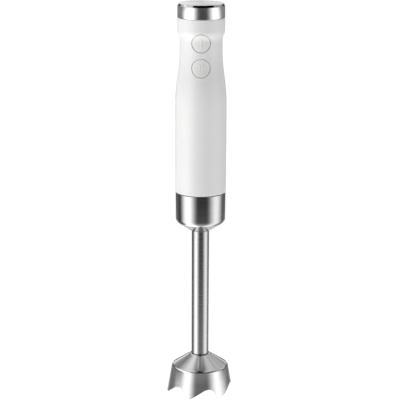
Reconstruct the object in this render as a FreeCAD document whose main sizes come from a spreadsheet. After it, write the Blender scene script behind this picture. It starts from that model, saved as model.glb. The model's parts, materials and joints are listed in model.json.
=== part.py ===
import FreeCAD, Part
import math
import os
import re
import Sketcher
from FreeCAD import Placement, Rotation, Vector

# An immersion blender, in millimetres. The Z axis is the axis of the motor, leg and guard, and z = 0 is
# the plane of the six tooth tips that it stands on. The front, with the two push buttons, faces -Y.

DIMENSIONS = {
    # blade guard
    "guard_rim_radius": 33.0,
    "guard_shoulder_radius": 28.15,
    "guard_shoulder_z": 27.4,
    "guard_shoulder_round": 4.0,
    "guard_wall": 1.2,
    "guard_neck_radius": 10.8,
    "guard_neck_z": 38.8,
    "guard_lip_radius": 10.4,
    "guard_lip_top": 39.5,
    "guard_lip_round": 0.4,
    "guard_groove_radius": 9.4,
    "guard_groove_floor": 38.5,
    "tooth_gap_centre": 6.2,
    "tooth_cut_start": 27.6,
    "tooth_ramp_foot": 13.6,
    "tooth_ramp_run": 13.0,
    "tooth_ramp_rise": 7.85,
    "tooth_crest_run": 6.8,
    "tooth_height": 9.8,
    "tooth_crest_radius": 12.3,
    "tooth_drop_run": 5.5,
    "tooth_drop_fall": 4.1,
    "tooth_drop_radius": 5.75,
    "tooth_foot": 13.7,
    "tooth_ramp_round": 4.0,
    "tooth_drop_round": 1.2,
    "tooth_cut_length": 15.0,
    "tooth_cut_below": 2.0,
    # tube and collar
    "tube_radius": 8.62,
    "tube_wall": 0.8,
    "tube_bottom": 35.0,
    "tube_top": 179.5,
    "collar_radius": 24.65,
    "collar_lower_radius": 24.45,
    "collar_corner_z": 176.4,
    "collar_round": 5.5,
    "collar_cone_z": 166.8,
    "collar_top": 206.0,
    "collar_wall": 0.8,
    "collar_lip": 0.35,
    # handle shell
    "shell_bottom": 206.4,
    "shell_rim_radius": 24.85,
    "shell_rim_round": 0.9,
    "belly_radius": 25.05,
    "belly_low_z": 250.0,
    "belly_top_z": 293.0,
    "waist_radius": 20.8,
    "waist_low_z": 349.0,
    "waist_top_z": 356.3,
    "crown_radius": 23.2,
    "crown_z": 367.5,
    "shell_top": 378.6,
    "shell_wall": 2.2,
    # speed dial
    "dial_radius": 23.05,
    "dial_bottom": 378.75,
    "dial_top": 392.5,
    "dial_bevel_width": 1.0,
    "dial_bevel_height": 2.2,
    "dial_wall": 1.55,
    "dial_web_z": 389.3,
    "dial_inlay_radius": 21.9,
    "dial_inlay_depth": 0.8,
    "dial_screw_pocket": 4.0,
    "hub_floor": 384.0,
    "hub_boss_radius": 5.0,
    "hub_boss_bottom": 379.2,
    "detent_track_radius": 15.0,
    "detent_track_half": 2.0,
    "detent_track_bottom": 376.9,
    # buttons
    "button_1_z": 356.0,
    "button_2_z": 332.0,
    "button_radius": 9.0,
    "button_hole_radius": 9.6,
    "button_flange_radius": 10.2,
    "button_back": 14.0,
    "mark_rise": 0.35,
    "switch_front": 12.4,
    "switch_half": 4.0,
    "plunger_radius": 1.5,
    "plunger_end": 9.9,
    # motor bracket and neck
    "neck_bottom": 189.0,
    "neck_radius": 20.2,
    "neck_inner_radius": 17.6,
    "floor_bottom": 206.9,
    "floor_top": 212.0,
    "floor_radius": 22.6,
    "seal_z": 199.0,
    "seal_wire": 0.95,
    "mount_screw_spacing": 24.0,
    # motor
    "can_radius": 18.5,
    "can_wall": 1.2,
    "can_bottom": 214.0,
    "can_top": 272.0,
    "magnet_inner_radius": 14.9,
    "core_radius": 14.2,
    "core_bottom": 226.0,
    "core_top": 256.0,
    "winding_overhang": 7.0,
    "commutator_radius": 5.2,
    "commutator_bottom": 264.5,
    "commutator_top": 271.5,
    "motor_shaft_radius": 2.5,
    "motor_shaft_bottom": 194.0,
    "motor_shaft_top": 291.0,
    "bearing_radius": 5.5,
    "running_gap": 0.03,
    "fan_radius": 17.0,
    "fan_bottom": 282.5,
    "fan_height": 7.0,
    "upper_damper_bottom": 262.0,
    "upper_damper_top": 270.0,
    "mount_hole_radius": 1.55,
    # chassis
    "chassis_radius": 22.4,
    "chassis_inner_radius": 20.6,
    "chassis_shoulder_z": 289.0,
    "chassis_neck_radius": 18.2,
    "chassis_neck_inner": 14.8,
    "chassis_neck_z": 296.0,
    "chassis_top": 371.0,
    "chassis_window_half": 14.5,
    "case_boss_low_z": 308.0,
    "case_boss_high_z": 328.0,
    "case_boss_y": 13.2,
    "case_boss_radius": 3.2,
    "case_hole_radius": 1.15,
    "case_head_x": 5.0,
    "clamp_z": 341.0,
    "clamp_half_height": 3.5,
    "clamp_screw_x": 6.0,
    "clamp_front": 7.0,
    "clamp_face": 10.0,
    "clamp_post_end": 15.0,
    # control board
    "board_half_width": 13.0,
    "board_front": 6.0,
    "board_back": 4.4,
    "board_top": 366.0,
    "sink_bottom": 316.0,
    "sink_top": 334.0,
    "sink_face": 0.9,
    "sink_back": 4.4,
    "component_bottom": 318.0,
    "terminal_bottom": 346.0,
    "terminal_top": 354.0,
    "terminal_half": 6.0,
    # top plate and speed control
    "top_plate_radius": 20.9,
    "top_plate_top": 374.5,
    "plate_screw_circle": 16.5,
    "thread_hole_radius": 1.12,
    "control_radius": 8.0,
    "control_bottom": 366.5,
    "spindle_radius": 3.0,
    "spindle_top": 388.0,
    # cable gland
    "gland_z": 352.0,
    "gland_radius": 5.0,
    "gland_bore": 3.6,
    "gland_flange_radius": 6.6,
    "gland_back": 13.5,
    "gland_nose": 27.0,
    # leg inside
    "housing_radius": 23.55,
    "housing_inner_radius": 21.0,
    "housing_top": 202.5,
    "housing_floor": 182.0,
    "housing_bottom": 160.0,
    "upper_bush_bottom": 170.0,
    "bush_radius": 5.0,
    "shaft_clearance_radius": 2.9,
    "lower_bush_top": 33.0,
    "lower_bush_bottom": 21.6,
    "shaft_seal_radius": 6.5,
    "boss_spigot_top": 46.0,
    "boss_radius": 9.2,
    "boss_bottom": 19.0,
    "lock_ring_radius": 23.4,
    "lock_ring_inner": 20.5,
    "lock_ring_bottom": 202.9,
    "lock_ring_top": 206.1,
    # blade set
    "blade_shaft_radius": 2.5,
    "blade_shaft_bottom": 7.4,
    "blade_shaft_top": 189.5,
    "coupler_radius": 8.0,
    "coupler_cavity": 6.4,
    "coupler_bottom": 184.0,
    "coupler_seat": 190.0,
    "coupler_top": 199.0,
    "dog_bottom": 192.5,
    "dog_top": 206.0,
    "dog_wing_reach": 5.9,
    "blade_bottom": 9.8,
    "blade_thickness": 1.4,
    "blade_reach": 22.0,
    "blade_root": 6.8,
    "nut_bottom": 6.4,
    "spacer_top": 18.6,
}

TOOTH_COUNT = 6
SLOT_COUNT = 12
FAN_VANES = 9
WING_COUNT = 3
DETENT_HEADING = 250

ALONG = {"X": Rotation(Vector(0, 1, 0), 90), "Y": Rotation(Vector(1, 0, 0), -90), "Z": Rotation()}

document = FreeCAD.newDocument("immersion_blender")
sheet = document.addObject("Spreadsheet::Sheet", "dims")
for row, (alias, value) in enumerate(DIMENSIONS.items(), start=1):
    sheet.set("A%d" % row, alias)
    sheet.set("B%d" % row, str(value))
    sheet.setAlias("B%d" % row, alias)
document.recompute()

ALIAS_WORDS = re.compile(r"\b(%s)\b" % "|".join(sorted(DIMENSIONS, key=len, reverse=True)))
nodes = []


def in_sheet(formula):
    """Point every dimension named in a formula at its cell."""
    return ALIAS_WORDS.sub(r"dims.\1", str(formula))


def size(formula):
    """The present value of a formula, in millimetres or degrees."""
    result = sheet.evalExpression(in_sheet(formula))
    return float(getattr(result, "Value", result))


def bind(thing, prop, formula):
    """Tie one property of an object to the sheet, or set it where the formula is a plain number."""
    if ALIAS_WORDS.search(str(formula)):
        thing.setExpression(prop, in_sheet(formula))
    elif prop.startswith("Placement.Base."):
        spot = thing.Placement
        setattr(spot.Base, prop[-1], size(formula))
        thing.Placement = spot
    else:
        setattr(thing, prop, size(formula))


def place(thing, corner, rotation=None):
    """Put an object at a point given as three formulas."""
    if rotation is not None:
        thing.Placement = Placement(Vector(), rotation)
    for letter, formula in zip("xyz", corner):
        bind(thing, "Placement.Base." + letter, formula)
    return thing


def keep(thing, name):
    """Make an object a sub-part that is written to its own file."""
    thing.Label = name
    nodes.append(thing)
    return thing


def box(name, low, high):
    """A block between two corners, each given as three formulas."""
    block = document.addObject("Part::Box", name)
    for prop, a, b in zip(("Length", "Width", "Height"), low, high):
        bind(block, prop, "(%s) - (%s)" % (b, a))
    return place(block, low)


def turned_block(name, low, high, rotation, centre=("0", "0", "0")):
    """A block drawn about the origin between two corners, then turned and moved to a centre."""
    block = box(name + "_block", low, high)
    holder = document.addObject("Part::Compound", name)
    holder.Links = [block]
    return place(holder, centre, rotation)


def cylinder(name, radius, length, base=("0", "0", "0"), along="Z"):
    rod = document.addObject("Part::Cylinder", name)
    bind(rod, "Radius", radius)
    bind(rod, "Height", length)
    return place(rod, base, ALONG[along])


def fuse(name, things):
    joined = document.addObject("Part::MultiFuse", name)
    joined.Shapes = things
    return joined


def cut(name, base, tools):
    tool = tools[0] if len(tools) == 1 else fuse(name + "_tools", tools)
    result = document.addObject("Part::Cut", name)
    result.Base = base
    result.Tool = tool
    return result


def common(name, things):
    result = document.addObject("Part::MultiCommon", name)
    result.Shapes = things
    return result


def group(name, things):
    """Separate identical solids that share one sub-part."""
    bundle = document.addObject("Part::Compound", name)
    bundle.Links = things
    return bundle


class Outline:
    """A closed outline of formulas: straight runs and arcs, each from the last point to the next."""

    def __init__(self, across, up):
        self.points = [(across, up)]
        self.bends = []

    def to(self, across, up):
        self.points.append((across, up))
        self.bends.append(None)
        return self

    def arc(self, across, up, radius, turn):
        """An arc that turns left (turn = 1) or right (turn = -1) on its way."""
        self.points.append((across, up))
        self.bends.append((radius, turn))
        return self

    def ease(self, across, up, turn):
        """An S of two equal arcs that leaves and arrives parallel to the axis."""
        last_across, last_up = self.points[-1]
        rise = "((%s) - (%s))" % (up, last_up)
        step = "((%s) - (%s))" % (across, last_across)
        radius = "(%s^2 + %s^2) / abs(4 * %s)" % (rise, step, step)
        middle = ("((%s) + (%s)) / 2" % (across, last_across), "((%s) + (%s)) / 2" % (up, last_up))
        self.arc(middle[0], middle[1], radius, turn)
        return self.arc(across, up, radius, -turn)

    def draw(self, sketch):
        """Draw the closed outline in a sketch and tie every point and radius to the sheet."""
        corners = [(size(across), size(up)) for across, up in self.points]
        bends = self.bends + [None]
        starts = []
        for index, bend in enumerate(bends):
            (x0, y0), (x1, y1) = corners[index], corners[(index + 1) % len(corners)]
            if bend is None:
                sketch.addGeometry(Part.LineSegment(Vector(x0, y0, 0), Vector(x1, y1, 0)), False)
                starts.append((1, 2))
                continue
            radius, turn = size(bend[0]), bend[1]
            chord = math.hypot(x1 - x0, y1 - y0)
            reach = math.sqrt(max(radius ** 2 - chord ** 2 / 4, 0)) * turn / chord
            centre_x = (x0 + x1) / 2 - (y1 - y0) * reach
            centre_y = (y0 + y1) / 2 + (x1 - x0) * reach
            first = math.atan2(y0 - centre_y, x0 - centre_x)
            last = math.atan2(y1 - centre_y, x1 - centre_x)
            if turn < 0:
                first, last = last, first
            if last < first:
                last += 2 * math.pi
            circle = Part.Circle(Vector(centre_x, centre_y, 0), Vector(0, 0, 1), radius)
            sketch.addGeometry(Part.ArcOfCircle(circle, first, last), False)
            starts.append((1, 2) if turn > 0 else (2, 1))
        for index in range(len(bends)):
            following = (index + 1) % len(bends)
            sketch.addConstraint(
                Sketcher.Constraint("Coincident", index, starts[index][1], following, starts[following][0]))
        for index, (across, up) in enumerate(self.points):
            for kind, formula, value in (
                ("DistanceX", across, corners[index][0]),
                ("DistanceY", up, corners[index][1]),
            ):
                fixed = Sketcher.Constraint(kind, -1, 1, index, starts[index][0], value)
                number = sketch.addConstraint(fixed)
                if ALIAS_WORDS.search(formula):
                    sketch.setExpression("Constraints[%d]" % number, in_sheet(formula))
        for index, bend in enumerate(bends):
            if bend is not None:
                number = sketch.addConstraint(Sketcher.Constraint("Radius", index, size(bend[0])))
                if ALIAS_WORDS.search(bend[0]):
                    sketch.setExpression("Constraints[%d]" % number, in_sheet(bend[0]))


def origin_plane(body, role):
    return [feature for feature in body.Origin.OriginFeatures if feature.Role == role][0]


def sketch_on(body, name, role):
    sketch = body.newObject("Sketcher::SketchObject", name)
    sketch.AttachmentSupport = [(origin_plane(body, role), "")]
    sketch.MapMode = "FlatFace"
    return sketch


def turned(name, outline):
    """A body turned about Z from an outline of radius and height."""
    body = document.addObject("PartDesign::Body", name)
    sketch = sketch_on(body, name + "_outline", "XZ_Plane")
    outline.draw(sketch)
    revolution = body.newObject("PartDesign::Revolution", name + "_turned")
    revolution.Profile = sketch
    revolution.ReferenceAxis = (sketch, ["V_Axis"])
    revolution.Angle = 360
    sketch.Visibility = False
    document.recompute()
    return body


def ring(name, inner, outer, bottom, top):
    """A turned ring or, with an inner radius of zero, a turned disc."""
    return turned(name, Outline(inner, bottom).to(outer, bottom).to(outer, top).to(inner, top))


def round_edge(body, name, radius, height, blend):
    """Round the circular edge of a body that has this radius at this height."""
    base = body.Tip
    found = []
    for index, edge in enumerate(base.Shape.Edges, start=1):
        curve = edge.Curve
        if not isinstance(curve, Part.Circle):
            continue
        if abs(curve.Radius - size(radius)) < 0.02 and abs(curve.Center.z - size(height)) < 0.02:
            found.append("Edge%d" % index)
    fillet = body.newObject("PartDesign::Fillet", name)
    fillet.Base = (base, found)
    bind(fillet, "Radius", blend)
    document.recompute()
    return fillet


def around(radius, degrees):
    """The x and y formulas of a point on a circle about Z."""
    return "(%s) * cos(%s deg)" % (radius, degrees), "(%s) * sin(%s deg)" % (radius, degrees)


def screw(name, base, along, side, head_radius, head_height, shank_radius, shank_length):
    """A cross-recessed screw with its head's underside at base, its shank pointing to side along an axis."""
    letter = "XYZ".index(along)
    head_base, shank_base = list(base), list(base)
    grow = "(%s) %s %s"
    if side > 0:
        head_base[letter] = grow % (base[letter], "-", head_height)
    else:
        shank_base[letter] = grow % (base[letter], "-", shank_length)
    head = cylinder(name + "_head", str(head_radius), str(head_height), head_base, along)
    shank = cylinder(name + "_shank", str(shank_radius), str(shank_length), shank_base, along)
    recess_depth = head_height / 2
    recess_base = list(base)
    outer = head_height if side > 0 else -(head_height - recess_depth)
    recess_base[letter] = "(%s) - %s" % (base[letter], outer)
    arm, web = head_radius * 0.6, head_radius * 0.12
    arms = []
    for index, (half_a, half_b) in enumerate(((arm, web), (web, arm))):
        low, high = list(recess_base), list(recess_base)
        spans = [half_a, half_b]
        for axis in range(3):
            if axis == letter:
                high[axis] = "(%s) + %s" % (recess_base[axis], recess_depth)
                continue
            half = spans.pop(0)
            low[axis] = "(%s) - %s" % (base[axis], half)
            high[axis] = "(%s) + %s" % (base[axis], half)
        arms.append(box("%s_recess_%d" % (name, index), low, high))
    return cut(name, fuse(name + "_blank", [head, shank]), arms)


def coil(name, base, along, radius, wire, length, turns):
    """A compression spring of round wire, lying along one axis from base."""
    helix = document.addObject("Part::Helix", name + "_line")
    helix.Radius = radius
    helix.Height = length - 2 * wire
    helix.Pitch = helix.Height.Value / turns
    section = document.addObject("Part::Circle", name + "_wire")
    section.Radius = wire
    section.Placement = Placement(Vector(radius, 0, 0), Rotation(Vector(1, 0, 0), 90))
    wound = document.addObject("Part::Sweep", name + "_wound")
    wound.Sections = [section]
    wound.Spine = (helix, ["Edge1"])
    wound.Solid = True
    wound.Frenet = True
    start = list(base)
    start["XYZ".index(along)] = "(%s) + %s" % (base["XYZ".index(along)], wire)
    holder = document.addObject("Part::Compound", name)
    holder.Links = [wound]
    return place(holder, start, ALONG[along])


# ---- outer surfaces -------------------------------------------------------------------------------------

def handle_form(name, offset):
    """The handle's outer surface as a solid, grown or shrunk by an offset."""
    grow = lambda radius: "%s + %s" % (radius, offset)
    outline = Outline("0", "shell_bottom").to(grow("shell_rim_radius"), "shell_bottom")
    outline.to(grow("belly_radius"), "belly_low_z").to(grow("belly_radius"), "belly_top_z")
    outline.ease(grow("waist_radius"), "waist_low_z", 1).to(grow("waist_radius"), "waist_top_z")
    outline.ease(grow("crown_radius"), "crown_z", -1).to(grow("crown_radius"), "shell_top")
    return turned(name, outline.to("0", "shell_top"))


def make_handle_shell():
    """The one-piece sleeve, open at both ends, with two round button holes and the gland's hole."""
    inner = lambda radius: radius + " - shell_wall"
    outline = Outline(inner("shell_rim_radius"), "shell_bottom").to("shell_rim_radius", "shell_bottom")
    outline.to("belly_radius", "belly_low_z").to("belly_radius", "belly_top_z")
    outline.ease("waist_radius", "waist_low_z", 1).to("waist_radius", "waist_top_z")
    outline.ease("crown_radius", "crown_z", -1).to("crown_radius", "shell_top")
    outline.to(inner("crown_radius"), "shell_top").to(inner("crown_radius"), "crown_z")
    outline.ease(inner("waist_radius"), "waist_top_z", -1).to(inner("waist_radius"), "waist_low_z")
    outline.ease(inner("belly_radius"), "belly_top_z", 1).to(inner("belly_radius"), "belly_low_z")
    sleeve = turned("handle_sleeve", outline)
    round_edge(sleeve, "handle_rim_round", "shell_rim_radius", "shell_bottom", "shell_rim_round")
    round_edge(sleeve, "handle_top_round", "crown_radius", "shell_top", "0.3")
    holes = [
        cylinder("button_%d_hole" % n, "button_hole_radius", "20", ("0", "-30", "button_%d_z" % n), "Y")
        for n in (1, 2)
    ]
    holes.append(cylinder("shell_gland_hole", "gland_radius + 0.05", "20", ("0", "12", "gland_z"), "Y"))
    keep(cut("handle_shell", sleeve, holes), "handle_shell")


def make_button(number, bars):
    """A round cap that follows the handle's curve, with a flange behind the shell and raised bars."""
    name = "button_%d_cap" % number
    height = "button_%d_z" % number
    deep = cylinder(name + "_body", "button_radius", "30 - button_back", ("0", "-30", height), "Y")
    face = common(name + "_face", [deep, skins["cap"]])
    wide = cylinder(name + "_rim", "button_flange_radius", "30 - button_back", ("0", "-30", height), "Y")
    flange = common(name + "_flange", [wide, skins["flange"]])
    marks = []
    for index, (across, half_width, half_length) in enumerate(bars):
        bar = box(
            "%s_bar_%d" % (name, index),
            (str(across - half_width), "-30", "%s - %s" % (height, half_length)),
            (str(across + half_width), "-18", "%s + %s" % (height, half_length)))
        marks.append(common("%s_mark_%d" % (name, index), [bar, skins["mark"]]))
    keep(fuse(name, [face, flange] + marks), name)
    stem = cylinder("plunger_%d" % number, "plunger_radius", "button_back - plunger_end",
                    ("0", "-button_back", height), "Y")
    keep(stem, "switch_%d_plunger" % number)


def make_switch_body(number):
    """A micro switch on the board behind one cap, bored for its plunger."""
    height = "button_%d_z" % number
    block = box(
        "switch_%d_block" % number,
        ("-switch_half", "-switch_front", "%s - switch_half" % height),
        ("switch_half", "-board_front", "%s + switch_half" % height))
    bore = cylinder(
        "switch_%d_bore" % number, "plunger_radius + 0.05", "switch_front - 8.6",
        ("0", "-switch_front", height), "Y")
    keep(cut("switch_%d_body" % number, block, [bore]), "switch_%d_body" % number)


# ---- speed dial -----------------------------------------------------------------------------------------

def make_dial():
    """The metal ring and web, the brushed inlay, the hub with its detent track, its screw and spindle."""
    outline = Outline("dial_screw_pocket", "dial_web_z").to("dial_radius - dial_wall", "dial_web_z")
    outline.to("dial_radius - dial_wall", "dial_bottom").to("dial_radius", "dial_bottom")
    outline.to("dial_radius", "dial_top - dial_bevel_height")
    outline.to("dial_radius - dial_bevel_width", "dial_top")
    outline.to("dial_inlay_radius + 0.05", "dial_top")
    outline.to("dial_inlay_radius + 0.05", "dial_top - dial_inlay_depth")
    outline.to("dial_screw_pocket", "dial_top - dial_inlay_depth")
    dial_ring = turned("dial_ring", outline)
    round_edge(dial_ring, "dial_foot_round", "dial_radius", "dial_bottom", "0.3")
    keep(dial_ring, "dial_ring")
    disc = ring("dial_top_disc", "0", "dial_inlay_radius", "dial_top - dial_inlay_depth", "dial_top")
    keep(disc, "dial_top_disc")
    hub = Outline("spindle_radius", "hub_boss_bottom").to("hub_boss_radius", "hub_boss_bottom")
    hub.to("hub_boss_radius", "hub_floor").to("detent_track_radius - detent_track_half", "hub_floor")
    hub.to("detent_track_radius - detent_track_half", "detent_track_bottom")
    hub.to("detent_track_radius + detent_track_half", "detent_track_bottom")
    hub.to("detent_track_radius + detent_track_half", "hub_floor")
    hub.to("dial_radius - dial_wall - 0.05", "hub_floor")
    hub.to("dial_radius - dial_wall - 0.05", "dial_web_z").to("1.3", "dial_web_z")
    hub.to("1.3", "spindle_top").to("spindle_radius", "spindle_top")
    keep(turned("dial_hub", hub), "dial_hub")
    keep(screw("dial_screw", ["0", "0", "dial_web_z"], "Z", -1, 3.4, 1.9, 1.25, 8.0), "dial_screw")
    spindle = Outline("0", "control_bottom + 2.5").to("spindle_radius", "control_bottom + 2.5")
    spindle.to("spindle_radius", "spindle_top").to("1.25", "spindle_top").to("1.25", "dial_web_z - 8.2")
    keep(turned("control_spindle", spindle.to("0", "dial_web_z - 8.2")), "control_spindle")


def make_top_plate():
    """The plate that closes the handle under the dial, with its screws, detent ball and spring."""
    plate = ring("top_plate_disc", "4.05", "top_plate_radius", "chassis_top", "top_plate_top")
    holes = [
        cylinder("top_plate_hole_%d" % turn, "thread_hole_radius", "10",
                 around("plate_screw_circle", turn) + ("chassis_top - 1",))
        for turn in (0, 90, 180)
    ]
    pocket_foot = around("detent_track_radius", DETENT_HEADING) + ("top_plate_top - 3.1",)
    pocket = cylinder("detent_pocket", "1.35", "4", pocket_foot)
    keep(cut("top_plate", plate, holes + [pocket]), "top_plate")
    screws = [
        screw("top_plate_screw_%d" % turn, list(around("plate_screw_circle", turn)) + ["top_plate_top"],
              "Z", -1, 2.3, 1.9, 1.1, 10.0)
        for turn in (0, 90, 180)
    ]
    keep(group("top_plate_screws", screws), "top_plate_screws")
    ball = document.addObject("Part::Sphere", "detent_ball")
    ball.Radius = 1.25
    keep(place(ball, around("detent_track_radius", DETENT_HEADING) + ("top_plate_top + 0.9",)), "detent_ball")
    spring_foot = around("detent_track_radius", DETENT_HEADING) + ("top_plate_top - 3.05",)
    spring = coil("detent_spring", spring_foot, "Z", 0.85, 0.2, 2.6, 4)
    keep(spring, "detent_spring")


def make_speed_control():
    """The rotary control under the top plate, bored for its spindle."""
    outline = Outline("0", "control_bottom").to("control_radius", "control_bottom")
    outline.to("control_radius", "chassis_top").to("4.0", "chassis_top").to("4.0", "top_plate_top + 1.5")
    outline.to("spindle_radius + 0.05", "top_plate_top + 1.5")
    outline.to("spindle_radius + 0.05", "control_bottom + 2.4").to("0", "control_bottom + 2.4")
    keep(turned("speed_control_body", outline), "speed_control_body")


# ---- motor unit -----------------------------------------------------------------------------------------

def make_motor_bracket():
    """The floor of the handle with the neck that enters the leg, and the seal in the neck's groove."""
    outline = Outline("neck_inner_radius", "neck_bottom").to("neck_radius", "neck_bottom")
    outline.to("neck_radius", "seal_z - 1.05").to("neck_radius - 1.15", "seal_z - 1.05")
    outline.to("neck_radius - 1.15", "seal_z + 1.05").to("neck_radius", "seal_z + 1.05")
    outline.to("neck_radius", "floor_bottom").to("floor_radius", "floor_bottom")
    outline.to("floor_radius", "floor_top").to("bearing_radius + 0.05", "floor_top")
    outline.to("bearing_radius + 0.05", "floor_top - 2.1").to("4.0", "floor_top - 2.1")
    outline.to("4.0", "floor_bottom").to("neck_inner_radius", "floor_bottom")
    blank = turned("bracket_blank", outline)
    holes = [
        cylinder("bracket_hole_%d" % side, "mount_hole_radius", "10",
                 ("mount_screw_spacing / 2 * %d" % side, "0", "floor_bottom - 1"))
        for side in (-1, 1)
    ]
    keep(cut("motor_bracket", blank, holes), "motor_bracket")
    seal = document.addObject("Part::Torus", "neck_seal")
    bind(seal, "Radius1", "neck_radius - 0.2")
    bind(seal, "Radius2", "seal_wire")
    keep(place(seal, ("0", "0", "seal_z")), "neck_seal")
    screws = [
        screw("mount_screw_%d" % (index + 1), ["mount_screw_spacing / 2 * %d" % side, "0", "floor_bottom"],
              "Z", 1, 2.7, 2.4, 1.5, 10.6)
        for index, side in enumerate((-1, 1))
    ]
    keep(group("motor_mount_screws", screws), "motor_mount_screws")


def make_chassis():
    """Two half shells that carry the motor and the board, split at x = 0 and open at the front above."""
    outline = Outline("chassis_inner_radius", "floor_top").to("chassis_radius", "floor_top")
    outline.to("chassis_radius", "chassis_shoulder_z").to("chassis_neck_radius", "chassis_neck_z")
    outline.to("chassis_neck_radius", "chassis_top").to("chassis_neck_inner", "chassis_top")
    outline.to("chassis_neck_inner", "chassis_neck_z").to("9", "chassis_neck_z")
    outline.to("9", "chassis_neck_z - 3").to("17.4", "chassis_neck_z - 3")
    outline.to("chassis_inner_radius", "chassis_shoulder_z - 0.6")
    form = turned("chassis_form", outline)
    window = box("chassis_window", ("-chassis_window_half", "-30", "chassis_neck_z + 2"),
                 ("chassis_window_half", "-2", "chassis_top + 1"))
    gland_hole = cylinder("chassis_gland_hole", "gland_radius + 0.1", "20", ("0", "10", "gland_z"), "Y")
    plate_holes = [
        cylinder("chassis_top_hole_%d" % turn, "thread_hole_radius", "12",
                 around("plate_screw_circle", turn) + ("chassis_top - 9",))
        for turn in (0, 90, 180)
    ]
    boss_heights = ("case_boss_low_z", "case_boss_high_z")
    bosses, boss_holes, boss_sinks = [], [], []
    for index, height in enumerate(boss_heights):
        bosses.append(cylinder("chassis_boss_%d" % index, "case_boss_radius", "14",
                               ("-7", "case_boss_y", height), "X"))
        boss_holes.append(cylinder("chassis_boss_hole_%d" % index, "case_hole_radius", "14",
                                   ("-6", "case_boss_y", height), "X"))
        boss_sinks.append(cylinder("chassis_boss_sink_%d" % index, "2.6", "15",
                                   ("case_head_x", "case_boss_y", height), "X"))
    clamp_low, clamp_high = "clamp_z - clamp_half_height", "clamp_z + clamp_half_height"
    posts, post_holes = [], []
    for index, side in enumerate((1, -1)):
        middle = "clamp_screw_x * %d" % side
        posts.append(box("clamp_post_%d" % index, (middle + " - 2", "clamp_face", clamp_low),
                         (middle + " + 2", "clamp_post_end", clamp_high)))
        post_holes.append(cylinder("clamp_post_hole_%d" % index, "thread_hole_radius", "8",
                                   (middle, "clamp_face - 2", "clamp_z"), "Y"))
    whole = fuse("chassis_whole", [form] + bosses + posts)
    machined = cut("chassis_machined", whole,
                   [window, gland_hole] + plate_holes + boss_holes + boss_sinks + post_holes)
    for name, low, high in (("chassis_right", "0", "40"), ("chassis_left", "-40", "0")):
        side = box(name + "_side", (low, "-40", "200"), (high, "40", "400"))
        keep(common(name, [machined, side]), name)
    screws = [
        screw("chassis_screw_%d" % index, ["case_head_x", "case_boss_y", height], "X", -1,
              2.4, 1.6, 1.1, 10.0)
        for index, height in enumerate(boss_heights)
    ]
    screws += [
        screw("clamp_screw_%d" % index, ["clamp_screw_x * %d" % side, "clamp_front", "clamp_z"], "Y", 1,
              2.4, 1.6, 1.1, 8.0)
        for index, side in enumerate((1, -1))
    ]
    keep(group("case_screws", screws), "case_screws")


def make_motor():
    """A can motor on a rubber pad: can, magnets, end cap, brush gear, bearings and dampers."""
    can = Outline("bearing_radius + 0.05", "can_bottom").to("can_radius", "can_bottom")
    can.to("can_radius", "can_top").to("can_radius - can_wall", "can_top")
    can.to("can_radius - can_wall", "can_bottom + 1.5").to("bearing_radius + 0.05", "can_bottom + 1.5")
    pad = ring("lower_damper_pad", "6", "can_radius - 0.2", "floor_top", "can_bottom")
    shell = turned("motor_can_shell", can)
    for name, blank in (("motor_can", shell), ("lower_damper", pad)):
        holes = [
            cylinder("%s_hole_%d" % (name, side > 0), "mount_hole_radius", "10",
                     ("mount_screw_spacing / 2 * %d" % side, "0", "floor_bottom"))
            for side in (-1, 1)
        ]
        keep(cut(name, blank, holes), name)
    keep(ring("upper_damper", "can_radius + 0.05", "chassis_inner_radius - 0.05", "upper_damper_bottom",
              "upper_damper_top"), "upper_damper")
    magnets = []
    for index, middle in enumerate((0, 180)):
        outer = document.addObject("Part::Cylinder", "magnet_outer_%d" % index)
        bind(outer, "Radius", "can_radius - can_wall - 0.02")
        outer.Height = 38
        outer.Angle = 130
        place(outer, ("0", "0", "core_bottom - 4"), Rotation(Vector(0, 0, 1), middle - 65))
        inner = cylinder("magnet_inner_%d" % index, "magnet_inner_radius", "40",
                         ("0", "0", "core_bottom - 5"))
        magnets.append(cut("magnet_%d" % index, outer, [inner]))
    keep(group("field_magnets", magnets), "field_magnets")
    cap = Outline("3.5", "can_top").to("14.5", "can_top").to("14.5", "can_top - 5")
    cap.to("can_radius - can_wall - 0.05", "can_top - 5").to("can_radius - can_wall - 0.05", "can_top")
    cap.to("can_radius", "can_top").to("can_radius", "can_top + 3").to("8.5", "can_top + 3")
    cap.to("8.5", "can_top + 9").to("bearing_radius + 0.02", "can_top + 9")
    cap.to("bearing_radius + 0.02", "can_top + 4").to("3.5", "can_top + 4")
    keep(turned("motor_end_cap", cap), "motor_end_cap")
    journal = "motor_shaft_radius + running_gap"
    keep(ring("lower_motor_bearing", journal, "bearing_radius", "floor_top - 2.05", "can_bottom + 1"),
         "lower_motor_bearing")
    keep(ring("upper_motor_bearing", journal, "bearing_radius", "can_top + 4.05", "can_top + 9"),
         "upper_motor_bearing")
    holders, brushes, springs = [], [], []
    for index, side in enumerate((1, -1)):
        spans = [("6.2", "14.2"), ("6.1", "13.8"), ("5.25", "10.5")]
        if side < 0:
            spans = [("-" + b, "-" + a) for a, b in spans]
        case = box("holder_case_%d" % index, (spans[0][0], "-2.7", "can_top - 5"),
                   (spans[0][1], "2.7", "can_top"))
        bore = box("holder_bore_%d" % index, (spans[1][0], "-2.05", "can_top - 4.4"),
                   (spans[1][1], "2.05", "can_top - 0.6"))
        holders.append(cut("brush_holder_%d" % index, case, [bore]))
        brushes.append(box("brush_%d" % index, (spans[2][0], "-2", "can_top - 4.35"),
                           (spans[2][1], "2", "can_top - 0.65")))
        spring_start = "10.5" if side > 0 else "-13.8"
        springs.append(coil("brush_spring_%d" % index, (spring_start, "0", "can_top - 2.5"),
                            "X", 1.2, 0.22, 3.3, 4))
    keep(group("brush_holders", holders), "brush_holders")
    keep(group("carbon_brushes", brushes), "carbon_brushes")
    keep(group("brush_springs", springs), "brush_springs")


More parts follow.
